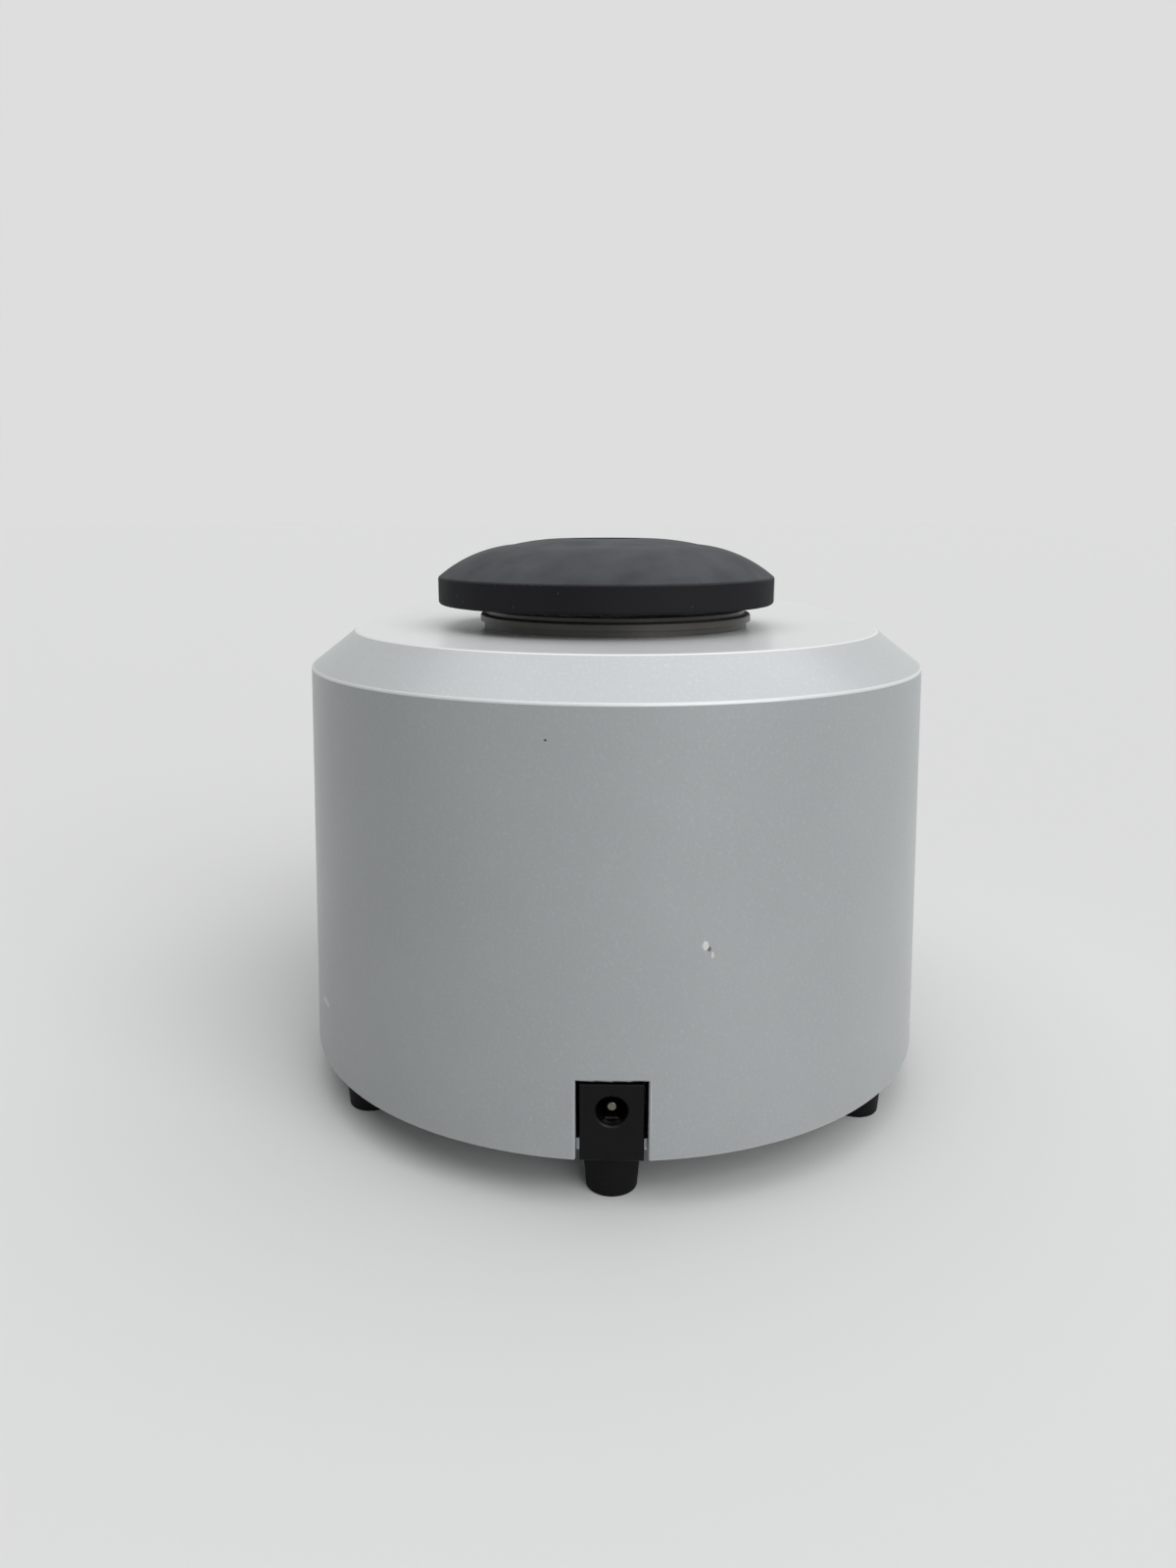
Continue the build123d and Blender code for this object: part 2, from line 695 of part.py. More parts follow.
sink_plane = board_back.offset(-chip_height)
sink_base = 2.0
sink_height = 8.0
fin_thickness = 1.0
fin_pitch = (chip_width + 2 * sink_border - fin_thickness) / (fin_count - 1)
with BuildPart() as heat_sink:
    with BuildSketch(sink_plane):
        with Locations(chip_place):
            Rectangle(chip_width + 2 * sink_border, chip_length + 2 * sink_border)
    extrude(amount=-sink_base)
    with BuildSketch(sink_plane.offset(-sink_base)):
        with Locations(chip_place):
            with GridLocations(fin_pitch, 0, fin_count, 1):
                Rectangle(fin_thickness, chip_length + 2 * sink_border)
    extrude(amount=sink_base - sink_height)
heat_sink.part.label = "heat_sink"
export_step(heat_sink.part, "parts/heat_sink.step")

connector_width = 10.0
connector_depth = 6.0
connector_height = 8.0
connector_wall = 0.8
connector_floor = 1.5
connector_pitch = 13.0
connector_places = [
    (board_end - chip_inset / 2 - step * connector_pitch, panel_middle - board_edge + connector_depth)
    for step in (1, 2)
]
with BuildPart() as connectors:
    with BuildSketch(board_back):
        with Locations(*connector_places):
            Rectangle(connector_width, connector_depth)
    extrude(amount=-connector_height)
    with BuildSketch(board_back.offset(-connector_height)):
        with Locations(*connector_places):
            Rectangle(connector_width - 2 * connector_wall, connector_depth - 2 * connector_wall)
    extrude(amount=connector_height - connector_floor, mode=Mode.SUBTRACT)
connectors.part.label = "connectors"
export_step(connectors.part, "parts/connectors.step")

# Speed control: a potentiometer clamped to the panel by its nut, and the fluted knob
pot_radius = 8.5
pot_depth = 9.0
pot_floor = 1.0
shaft_room = 0.5  # below the end of the shaft
pot_bush_rise = 2.0  # housing face to the end of the bush
pot_tag_width = 1.0
pot_tag_thickness = 0.6
pot_tag_pitch = 5.0
pot_tag_inset = 2.5  # edge of the case to the tags
pot_plane = panel_back.offset(-fit_gap)
pot_back = pot_plane.offset(-pot_depth)
shaft_end = pot_depth - pot_floor
with BuildPart() as speed_pot:
    with BuildSketch(pot_plane):
        with Locations(knob_place):
            Circle(pot_radius)
    extrude(amount=-pot_depth)
    with BuildSketch(pot_plane):
        with Locations(knob_place):
            Circle(pot_bush_radius)
    extrude(amount=panel_thickness + panel_sink + fit_gap + pot_bush_rise)
    with BuildSketch(panel_plane.offset(pot_bush_rise)):
        with Locations(knob_place):
            Circle(pot_shaft_radius + run_gap)
    extrude(amount=-pot_bush_rise - panel_sink - panel_thickness - shaft_end, mode=Mode.SUBTRACT)
    with BuildSketch(pot_back.offset(pot_floor)):
        with Locations((knob_x, panel_middle - pot_radius + pot_tag_inset)):
            with GridLocations(pot_tag_pitch, 0, 3, 1):
                Rectangle(pot_tag_width, pot_tag_thickness)
    extrude(amount=pot_depth - board_gap - pot_floor + 2 * fit_gap)
speed_pot.part.label = "speed_pot"
export_step(speed_pot.part, "parts/speed_pot.step")

nut_height = 2.0
nut_wall = 1.8  # at the corners
with BuildPart() as pot_nut:
    with BuildSketch(panel_face.offset(fit_gap)):
        with Locations(knob_place):
            RegularPolygon(pot_bush_radius + nut_wall, 6)
            Circle(pot_bush_radius + fit_gap / 2, mode=Mode.SUBTRACT)
    extrude(amount=nut_height)
pot_nut.part.label = "pot_nut"
export_step(pot_nut.part, "parts/pot_nut.step")

flute_radius = 1.5
flute_set_out = 0.6  # outside of the knob to the middle of a flute
knob_round = 1.2
knob_wall = 3.0
knob_boss_radius = pot_bush_radius + 4.0
knob_cavity_radius = pot_bush_radius + 2.4
knob_cavity = nut_height + 2.5
knob_bore_end = knob_height - knob_wall
pointer_middle = 0.66  # shares of the knob's radius
pointer_length = 0.56
pointer_width = 1.6
pointer_depth = 0.6
skirt_taper = 12.0  # degrees
knob_base = panel_face.offset(move_gap)
knob_plane = Plane(
    origin=knob_base.from_local_coords((knob_x, panel_middle, 0)),
    x_dir=knob_base.x_dir,
    z_dir=knob_base.z_dir,
)
with BuildPart() as speed_knob:
    with BuildSketch(knob_plane):
        Circle(knob_skirt_radius)
    extrude(amount=knob_skirt_height, taper=skirt_taper)
    with BuildSketch(knob_plane.offset(knob_skirt_height)):
        Circle(knob_radius)
    extrude(amount=knob_height)
    fillet(speed_knob.faces().sort_by(Axis((0, 0, 0), knob_plane.z_dir))[-1].edges(), knob_round)
    with BuildSketch(knob_plane.offset(knob_skirt_height)):
        with PolarLocations(knob_radius + flute_set_out, knob_flutes):
            Circle(flute_radius)
    extrude(amount=knob_height, mode=Mode.SUBTRACT)
    with BuildSketch(knob_plane):
        Circle(knob_radius - knob_wall)
        Circle(knob_boss_radius, mode=Mode.SUBTRACT)
    extrude(amount=knob_height - knob_wall, mode=Mode.SUBTRACT)
    with BuildSketch(knob_plane):
        Circle(knob_cavity_radius)
    extrude(amount=knob_cavity, mode=Mode.SUBTRACT)
    with BuildSketch(knob_plane):
        Circle(pot_shaft_radius + fit_gap / 3)
    extrude(amount=knob_bore_end, mode=Mode.SUBTRACT)
    with BuildSketch(knob_plane.offset(knob_top - move_gap)):
        with Locations(Location((0, 0, 0), knob_turn_start)):
            with Locations((0, knob_radius * pointer_middle)):
                SlotOverall(knob_radius * pointer_length, pointer_width, rotation=90)
    extrude(amount=-pointer_depth, mode=Mode.SUBTRACT)
speed_knob.part.label = "speed_knob"
export_step(speed_knob.part, "parts/speed_knob.step")

with BuildPart() as pot_shaft:
    with BuildSketch(knob_plane.offset(knob_bore_end - fit_gap)):
        Circle(pot_shaft_radius)
    extrude(amount=fit_gap - knob_bore_end - move_gap - panel_thickness - shaft_end + shaft_room)
pot_shaft.part.label = "pot_shaft"
export_step(pot_shaft.part, "parts/pot_shaft.step")

# Mode switch: a moulded frame in the panel, and a rocker that tilts in it to either side of off
rocker_pivot = 1.5  # behind the housing face
rocker_swing = rocker_length / 2
rocker_rise = bezel_height + rocker_pivot + rocker_swing * sin(radians(rocker_tilt))
rocker_dip = 0.8
frame_depth = 13.0
bezel_round = 0.5
rocker_round = 0.3
terminal_width = 4.0
terminal_thickness = 0.8
terminal_pitch = 5.0
terminal_root = 1.0  # inside the frame
rocker_side = Plane(
    origin=panel_plane.from_local_coords(
        (rocker_x - rocker_width / 2, rocker_place[1], -rocker_pivot)
    ),
    x_dir=panel_plane.y_dir,
    z_dir=(1, 0, 0),
)
with BuildPart() as switch_frame:
    with BuildSketch(panel_face.offset(fit_gap)):
        with Locations(rocker_place):
            Rectangle(frame_width + 2 * bezel_border, frame_length + 2 * bezel_border)
    extrude(amount=bezel_height)
    fillet(switch_frame.faces().sort_by(Axis((0, 0, 0), panel_plane.z_dir))[-1].edges(), bezel_round)
    with BuildSketch(panel_face.offset(fit_gap)):
        with Locations(rocker_place):
            Rectangle(frame_width, frame_length)
    extrude(amount=-frame_depth)
    with BuildSketch(rocker_side.offset(-rocker_gap)):
        Circle(rocker_swing + rocker_gap)
    extrude(amount=rocker_width + 2 * rocker_gap, mode=Mode.SUBTRACT)
    with BuildSketch(board_plane.offset(fit_gap)):
        with Locations(rocker_place):
            with GridLocations(0, terminal_pitch, 1, 3):
                Rectangle(terminal_width, terminal_thickness)
    extrude(amount=panel_thickness + board_gap - frame_depth + terminal_root)
switch_frame.part.label = "switch_frame"
export_step(switch_frame.part, "parts/switch_frame.step")

with BuildPart() as mode_rocker:
    with BuildSketch(rocker_side):
        Circle(rocker_swing)
        with BuildLine():
            Polyline(
                (-rocker_length, rocker_rise + rocker_dip),
                (0, rocker_rise - rocker_dip),
                (rocker_length, rocker_rise + rocker_dip),
                (rocker_length, -rocker_rise),
                (-rocker_length, -rocker_rise),
                close=True,
            )
        make_face(mode=Mode.INTERSECT)
    extrude(amount=rocker_width)
    top_edges = mode_rocker.edges().filter_by(GeomType.LINE)
    fillet(top_edges.filter_by(lambda edge: edge.length < rocker_width + rocker_round), rocker_round)
mode_rocker.part.label = "mode_rocker"
export_step(mode_rocker.part, "parts/mode_rocker.step")

# Indicator: a clear lens through the panel, and the light on the board behind it
lens_collar = lens_radius + 0.7
lens_collar_thickness = 1.0
lens_rise = 1.2
lens_round = 0.9
light_flange = lens_radius + 0.4
light_flange_thickness = 1.0
with BuildPart() as status_lens:
    with BuildSketch(panel_back.offset(-fit_gap)):
        with Locations(lens_place):
            Circle(lens_collar)
    extrude(amount=-lens_collar_thickness)
    with BuildSketch(panel_back.offset(-fit_gap)):
        with Locations(lens_place):
            Circle(lens_radius)
    extrude(amount=panel_thickness + fit_gap + lens_rise)
    fillet(status_lens.edges().sort_by(Axis((0, 0, 0), panel_plane.z_dir))[-1], lens_round)
status_lens.part.label = "status_lens"
export_step(status_lens.part, "parts/status_lens.step")

with BuildPart() as status_light:
    with BuildSketch(board_plane):
        with Locations(lens_place):
            Circle(light_flange)
    extrude(amount=light_flange_thickness)
    with BuildSketch(board_plane):
        with Locations(lens_place):
            Circle(lens_radius)
    extrude(amount=board_gap - 2 * lens_collar_thickness)
    fillet(status_light.edges().sort_by(Axis((0, 0, 0), panel_plane.z_dir))[-1], 0.8 * lens_radius)
status_light.part.label = "status_light"
export_step(status_light.part, "parts/status_light.step")

# Posts that guide the motor plate: shouldered, with a neck for the spring and the bush
post_bore = 12.0
post_bore_end = 2.0  # past the tip of the screw
with BuildPart() as guide_posts:
    with BuildSketch(level(plate_top_z)):
        with Locations(*guide_places):
            Circle(guide_radius)
    extrude(amount=guide_shoulder - plate_top_z)
    with BuildSketch(level(guide_shoulder)):
        with Locations(*guide_places):
            Circle(guide_neck_radius)
    extrude(amount=plate_stop - guide_shoulder)
    with BuildSketch(level(plate_top_z)):
        with Locations(*guide_places):
            Circle(m4 + fit_gap / 2)
    extrude(amount=base_screw_seat + base_screw_length + post_bore_end - plate_top_z, mode=Mode.SUBTRACT)
    with BuildSketch(level(plate_stop)):
        with Locations(*guide_places):
            Circle(m3 + fit_gap / 2)
    extrude(amount=-post_bore, mode=Mode.SUBTRACT)
guide_posts.part.label = "guide_posts"
export_step(guide_posts.part, "parts/guide_posts.step")

# Screws on the posts, whose wide flanges stop the motor plate as it comes up
post_flange = 1.0
post_flange_radius = guide_neck_radius + 1.6
with BuildPart(level(plate_stop)) as post_screws:
    with BuildSketch(level(plate_stop)):
        with Locations(*guide_places):
            Circle(post_flange_radius)
    extrude(amount=post_flange)
    with Locations(*[Location((x, y, post_flange), (180, 0, 0)) for x, y in guide_places]):
        add(screw(m3, post_flange + post_bore - post_bore_end, m3_head, m3_head_height))
post_screws.part.label = "post_screws"
export_step(post_screws.part, "parts/post_screws.step")

# Springs round the necks, between the shoulders and the motor plate
spring_height = spring_length - spring_wire - fit_gap
spring_radius = (guide_radius + guide_neck_radius + fit_gap) / 2 + 0.1
with BuildPart() as one_spring:
    with BuildLine():
        coil = Helix(spring_height / spring_turns, spring_height, spring_radius)
    with BuildSketch(Plane(origin=coil @ 0, z_dir=coil % 0)):
        RegularPolygon(spring_wire / 2, 6)
    sweep(is_frenet=True)
with BuildPart(level(guide_shoulder + (spring_wire + fit_gap) / 2)) as return_springs:
    with Locations(*guide_places):
        add(one_spring.part)
return_springs.part.label = "return_springs"
export_step(return_springs.part, "parts/return_springs.step")

# Motor plate with three ears that slide on the posts
shaft_clearance = 7.0
ear_border = 1.6  # plate round the flange of a bush
ear_radius = bush_flange_radius + ear_border
motor_screw_circle = 16.0
motor_screw_angles = (45.0, 135.0, 225.0, 315.0)
motor_screw_places = around(motor_screw_circle, motor_screw_angles)
with BuildPart() as motor_plate:
    with BuildSketch(level(motor_plate_bottom)):
        Circle(motor_plate_radius)
        with Locations(*guide_places):
            Circle(ear_radius)
        for (x, y), turn in zip(guide_places, guide_angles + (270.0,)):
            with Locations(Location((0, 0, 0), turn)):
                Rectangle(hypot(x, y), 2 * ear_radius, align=(Align.MIN, Align.CENTER))
        Circle(shaft_clearance, mode=Mode.SUBTRACT)
        with Locations(*guide_places):
            Circle(bush_radius + fit_gap / 2, mode=Mode.SUBTRACT)
        with Locations(*motor_screw_places, *flex_places):
            Circle(m3 + fit_gap, mode=Mode.SUBTRACT)
    extrude(amount=motor_plate_thickness)
motor_plate.part.label = "motor_plate"
export_step(motor_plate.part, "parts/motor_plate.step")

with BuildPart() as plate_bushes:
    with BuildSketch(level(motor_plate_bottom)):
        with Locations(*guide_places):
            Circle(bush_radius)
    extrude(amount=motor_plate_thickness)
    with BuildSketch(level(motor_plate_top)):
        with Locations(*guide_places):
            Circle(bush_flange_radius)
    extrude(amount=bush_flange)
    with BuildSketch(level(motor_plate_bottom)):
        with Locations(*guide_places):
            Circle(guide_neck_radius + run_gap)
    extrude(amount=motor_plate_thickness + bush_flange, mode=Mode.SUBTRACT)
plate_bushes.part.label = "plate_bushes"
export_step(plate_bushes.part, "parts/plate_bushes.step")

# Motor, screwed to the underside of its plate
motor_head = 3.0
motor_head_round = 1.5
motor_cap_round = 1.0
bearing_wall = 2.0  # round each motor bearing
bearing_stop = 1.0  # behind each motor bearing
motor_cap_height = 3.0
cap_spigot = 2.0
motor_bearing_radius = 6.0
motor_bearing_length = 5.0
motor_bearing_seat = motor_bearing_length + bearing_stop
can_bottom = motor_bottom + motor_cap_height
can_inside = motor_radius - motor_wall
lower_bearing_z = motor_bottom + bearing_stop
upper_bearing_z = motor_plate_bottom - motor_bearing_length
with BuildPart() as motor_can:
    with BuildSketch(level(can_bottom)):
        Circle(motor_radius)
    extrude(amount=motor_plate_bottom - can_bottom)
    fillet(motor_can.edges().group_by(Axis.Z)[-1], motor_head_round)
    with BuildSketch(level(can_bottom)):
        Circle(can_inside)
    extrude(amount=motor_plate_bottom - motor_head - can_bottom, mode=Mode.SUBTRACT)
    with BuildSketch(level(upper_bearing_z - bearing_stop)):
        Circle(motor_bearing_radius + bearing_wall)
    extrude(amount=motor_bearing_seat - motor_head)
    with BuildSketch(level(upper_bearing_z - bearing_stop)):
        Circle(motor_bearing_radius + fit_gap / 3)
    extrude(amount=motor_bearing_seat, mode=Mode.SUBTRACT)
    with BuildSketch(level(motor_plate_bottom)):
        with Locations(*motor_screw_places):
            Circle(m3 + fit_gap / 2)
    extrude(amount=-motor_head, mode=Mode.SUBTRACT)
motor_can.part.label = "motor_can"
export_step(motor_can.part, "parts/motor_can.step")

with BuildPart() as motor_cap:
    with BuildSketch(level(motor_bottom)):
        Circle(motor_radius)
    extrude(amount=motor_cap_height)
    fillet(motor_cap.edges().group_by(Axis.Z)[0], motor_cap_round)
    with BuildSketch(level(can_bottom)):
        Circle(can_inside - fit_gap / 3)
        Circle(can_inside - bearing_wall, mode=Mode.SUBTRACT)
    extrude(amount=cap_spigot)
    with BuildSketch(level(can_bottom)):
        Circle(motor_bearing_radius + bearing_wall)
    extrude(amount=motor_bearing_seat - motor_cap_height)
    with BuildSketch(level(motor_bottom)):
        Circle(shaft_radius + bearing_stop)
    extrude(amount=motor_bearing_seat + bearing_stop, mode=Mode.SUBTRACT)
    with BuildSketch(level(lower_bearing_z)):
        Circle(motor_bearing_radius + fit_gap / 3)
    extrude(amount=motor_bearing_seat, mode=Mode.SUBTRACT)
motor_cap.part.label = "motor_cap"
export_step(motor_cap.part, "parts/motor_cap.step")

magnet_room = 2.0  # above the cap and below the upper bearing's stop
magnet_thickness = 4.0
magnet_split = 16.0  # between the two halves
magnet_bottom = can_bottom + cap_spigot + magnet_room
magnet_top = upper_bearing_z - bearing_stop - magnet_room
magnet_inside = can_inside - magnet_thickness
with BuildPart() as motor_magnets:
    with BuildSketch(level(magnet_bottom)):
        Circle(can_inside - fit_gap)
        Circle(magnet_inside, mode=Mode.SUBTRACT)
        Rectangle(2 * motor_radius, magnet_split, mode=Mode.SUBTRACT)
    extrude(amount=magnet_top - magnet_bottom)
motor_magnets.part.label = "motor_magnets"
export_step(motor_magnets.part, "parts/motor_magnets.step")

with BuildPart() as motor_bearings:
    for seat_z in (lower_bearing_z, upper_bearing_z):
        with BuildSketch(level(seat_z)):
            Circle(motor_bearing_radius)
            Circle(shaft_radius + run_gap, mode=Mode.SUBTRACT)
        extrude(amount=motor_bearing_length)
motor_bearings.part.label = "motor_bearings"
export_step(motor_bearings.part, "parts/motor_bearings.step")

with BuildPart(level(motor_plate_top)) as motor_screws:
    with Locations(*[Location((x, y, 0), (180, 0, 0)) for x, y in motor_screw_places]):
        add(screw(m3, motor_plate_thickness + motor_head - fit_gap, m3_head, m3_head_height))
motor_screws.part.label = "motor_screws"
export_step(motor_screws.part, "parts/motor_screws.step")

# Rotor: shaft, laminated armature with its commutator, crank, counterweight and the inner half of
# the ball bearing
shaft_tail = 1.0  # below the motor
shaft_chamfer = 0.5
crank_cap = 2.5  # crank above the end of the shaft
shaft_bottom = motor_bottom - shaft_tail
shaft_top = crank_top - crank_cap
with BuildPart() as motor_shaft:
    with BuildSketch(level(shaft_bottom)):
        Circle(shaft_radius)
    extrude(amount=shaft_top - shaft_bottom)
    chamfer(motor_shaft.edges().group_by(Axis.Z)[-1], shaft_chamfer)
motor_shaft.part.label = "motor_shaft"
export_step(motor_shaft.part, "parts/motor_shaft.step")

armature_gap = 0.6  # to the magnets
armature_slots = 8
armature_short = 4.0  # shorter than the magnets at each end
slot_depth = 7.0
slot_mouth = 2.2
slot_root_radius = 3.0
commutator_radius = 7.0
commutator_drop = 1.0  # below the magnets
commutator_length = 6.0
armature_radius = magnet_inside - armature_gap
with BuildPart() as armature:
    with BuildSketch(level(magnet_bottom + armature_short)):
        Circle(armature_radius)
        with PolarLocations(armature_radius - slot_depth / 2, armature_slots):
            Rectangle(slot_depth, slot_mouth, mode=Mode.SUBTRACT)
            Circle(slot_root_radius, mode=Mode.SUBTRACT)
    extrude(amount=magnet_top - magnet_bottom - 2 * armature_short)
    with BuildSketch(level(magnet_bottom - commutator_drop)):
        Circle(commutator_radius)
    extrude(amount=commutator_length)
    with BuildSketch(level(magnet_bottom - commutator_drop)):
        Circle(shaft_radius + fit_gap / 5)
    extrude(amount=magnet_top - magnet_bottom, mode=Mode.SUBTRACT)
armature.part.label = "armature"
export_step(armature.part, "parts/armature.step")

crank_chamfer = 0.6
pin_collar = 1.2  # round the foot of the crank pin
pin_chamfer = 0.3
grub_drop = 1.0  # below the middle of the crank
hex_share = 0.55  # of a screw's shank
hex_depth = 1.5
weight_wall = 3.5  # round the crank
grub_z = (crank_bottom + crank_top) / 2 - grub_drop
weight_bottom = grub_z - weight_height / 2
weight_hub = crank_radius + weight_wall
grub_plane = Plane(origin=(shaft_radius + fit_gap, drive_y, grub_z), x_dir=(0, 1, 0), z_dir=(1, 0, 0))
with BuildPart() as crank:
    with BuildSketch(level(crank_bottom)):
        Circle(crank_radius)
    extrude(amount=crank_top - crank_bottom)
    chamfer(crank.edges().group_by(Axis.Z)[-1], crank_chamfer)
    with BuildSketch(head_level(crank_top)):
        Circle(pin_radius + pin_collar)
    extrude(amount=bearing_bottom - crank_top)
    with BuildSketch(head_level(crank_top)):
        Circle(pin_radius)
    extrude(amount=pin_top - crank_top)
    chamfer(crank.edges().group_by(Axis.Z)[-1], pin_chamfer)
    with BuildSketch(level(crank_bottom)):
        Circle(shaft_radius + fit_gap / 3)
    extrude(amount=shaft_top + fit_gap - crank_bottom, mode=Mode.SUBTRACT)
    with BuildSketch(grub_plane):
        Circle(m3 + fit_gap / 2)
    extrude(amount=crank_radius, mode=Mode.SUBTRACT)
crank.part.label = "crank"
export_step(crank.part, "parts/crank.step")

wedge = [around(weight_radius, (180 + turn,))[0] for turn in (-weight_angle / 2, 0, weight_angle / 2)]
with BuildPart() as counterweight:
    with BuildSketch(level(weight_bottom)):
        with BuildLine():
            Line((0, 0), wedge[0])
            ThreePointArc(*wedge)
            Line(wedge[2], (0, 0))
        make_face()
        Circle(weight_hub)
        Circle(crank_radius + fit_gap / 3, mode=Mode.SUBTRACT)
    extrude(amount=weight_height)
    with BuildSketch(grub_plane):
        Circle(m3 + fit_gap / 2)
    extrude(amount=weight_radius, mode=Mode.SUBTRACT)
counterweight.part.label = "counterweight"
export_step(counterweight.part, "parts/counterweight.step")

with BuildPart() as grub_screw:
    with BuildSketch(grub_plane):
        Circle(m3)
    extrude(amount=weight_hub - shaft_radius - 2 * fit_gap)
    with BuildSketch(grub_plane.offset(weight_hub - shaft_radius - 2 * fit_gap)):
        RegularPolygon(m3 * hex_share, 6)
    extrude(amount=-hex_depth, mode=Mode.SUBTRACT)
grub_screw.part.label = "grub_screw"
export_step(grub_screw.part, "parts/grub_screw.step")

# Ball bearing of the orbiting hub: each ring is turned with a groove for the balls
bearing_middle = (bearing_bottom + bearing_top) / 2
bearing_plane = Plane(origin=(throw_x, drive_y, bearing_middle), x_dir=(1, 0, 0), z_dir=(0, -1, 0))
with BuildPart() as bearing_inner:
    with BuildSketch(bearing_plane):
        with Locations((pin_radius + fit_gap / 3, 0)):
            Rectangle(bearing_race, bearing_width, align=(Align.MIN, Align.CENTER))
        with Locations((ball_circle, 0)):
            Circle(ball_radius + run_gap, mode=Mode.SUBTRACT)
    revolve(axis=Axis((throw_x, drive_y, 0), (0, 0, 1)))
bearing_inner.part.label = "bearing_inner"
export_step(bearing_inner.part, "parts/bearing_inner.step")

with BuildPart(head_level(bearing_middle)) as bearing_balls:
    with PolarLocations(ball_circle, ball_count):
        Sphere(ball_radius)
bearing_balls.part.label = "bearing_balls"
export_step(bearing_balls.part, "parts/bearing_balls.step")

with BuildPart() as bearing_outer:
    with BuildSketch(bearing_plane):
        with Locations((bearing_radius, 0)):
            Rectangle(bearing_race, bearing_width, align=(Align.MAX, Align.CENTER))
        with Locations((ball_circle, 0)):
            Circle(ball_radius + run_gap, mode=Mode.SUBTRACT)
    revolve(axis=Axis((throw_x, drive_y, 0), (0, 0, 1)))
bearing_outer.part.label = "bearing_outer"
export_step(bearing_outer.part, "parts/bearing_outer.step")

# Orbiting hub: a flange on the rubber posts, the seat of the bearing, and a neck up to the head
hub_top = disc_bottom_z
hub_hole_circle = 25.0
hub_hole_radius = 8.0
hub_screw_floor = 0.6  # hub's relief to the screw holes
hub_flange_top = hub_flange_bottom + hub_flange_thickness
relief_top = bearing_top + hub_relief
with BuildPart() as orbit_hub:
    with BuildSketch(head_level(hub_flange_bottom)):
        Circle(hub_flange_radius)
        with Locations(*around(hub_hole_circle, [angle + 60.0 for angle in flex_angles])):
            Circle(hub_hole_radius, mode=Mode.SUBTRACT)
        with Locations(*flex_places):
            Circle(m3 + fit_gap, mode=Mode.SUBTRACT)
    extrude(amount=hub_flange_thickness)
    with BuildSketch(head_level(hub_flange_bottom)):
        Circle(hub_radius)
    extrude(amount=hub_top - hub_flange_bottom)
    with BuildSketch(head_level(hub_flange_bottom)):
        Circle(bearing_radius + fit_gap / 3)
    extrude(amount=bearing_top - hub_flange_bottom, mode=Mode.SUBTRACT)
    with BuildSketch(head_level(hub_flange_bottom + circlip_rise)):
        Circle(bearing_radius + circlip_depth + fit_gap)
    extrude(amount=circlip_thickness, mode=Mode.SUBTRACT)
    with BuildSketch(head_level(bearing_top)):
        Circle(bearing_radius - bearing_race)
    extrude(amount=relief_top - bearing_top, mode=Mode.SUBTRACT)
    with BuildSketch(head_level(hub_top)):
        with PolarLocations(disc_screw_circle, 3):
            Circle(m3 + fit_gap / 2)
    extrude(amount=relief_top + hub_screw_floor - hub_top, mode=Mode.SUBTRACT)
orbit_hub.part.label = "orbit_hub"
export_step(orbit_hub.part, "parts/orbit_hub.step")

ring_width = 1.2  # inside the hub's bore
ring_mouth_width = 5.0
ring_mouth_length = 8.0
with BuildPart() as retaining_ring:
    with BuildSketch(head_level(hub_flange_bottom + circlip_rise + fit_gap / 3)):
        Circle(bearing_radius + circlip_depth)
        Circle(bearing_radius - ring_width, mode=Mode.SUBTRACT)
        with Locations((0, bearing_radius)):
            Rectangle(ring_mouth_width, ring_mouth_length, mode=Mode.SUBTRACT)
    extrude(amount=circlip_thickness - 2 * fit_gap / 3)
retaining_ring.part.label = "retaining_ring"
export_step(retaining_ring.part, "parts/retaining_ring.step")

# Rubber posts: they carry the hub on the motor plate, and lean with it as it orbits
flex_bore = 6.5
flex_screw_end = 0.7  # short of the end of the bore
with BuildPart() as flex_posts:
    for x, y in flex_places:
        with BuildSketch(level(motor_plate_top)):
            with Locations((x, y)):
                Circle(flex_radius)
        with BuildSketch(head_level(hub_flange_bottom)):
            with Locations((x, y)):
                Circle(flex_radius)
        loft()
    with BuildSketch(level(motor_plate_top)):
        with Locations(*flex_places):
            Circle(m3 + fit_gap)
    extrude(amount=flex_bore, mode=Mode.SUBTRACT)
    with BuildSketch(head_level(hub_flange_bottom)):
        with Locations(*flex_places):
            Circle(m3 + fit_gap)
    extrude(amount=-flex_bore, mode=Mode.SUBTRACT)
flex_posts.part.label = "flex_posts"
export_step(flex_posts.part, "parts/flex_posts.step")

with BuildPart(level(motor_plate_bottom)) as post_foot_screws:
    with Locations(*flex_places):
        add(screw(m3, motor_plate_thickness + flex_bore - flex_screw_end, m3_head, m3_head_height))
post_foot_screws.part.label = "post_foot_screws"
export_step(post_foot_screws.part, "parts/post_foot_screws.step")

with BuildPart(head_level(hub_flange_top)) as post_head_screws:
    with Locations(*[Location((x, y, 0), (180, 0, 0)) for x, y in flex_places]):
        add(screw(m3, hub_flange_thickness + flex_bore - flex_screw_end, m3_head, m3_head_height))
post_head_screws.part.label = "post_head_screws"
export_step(post_head_screws.part, "parts/post_head_screws.step")

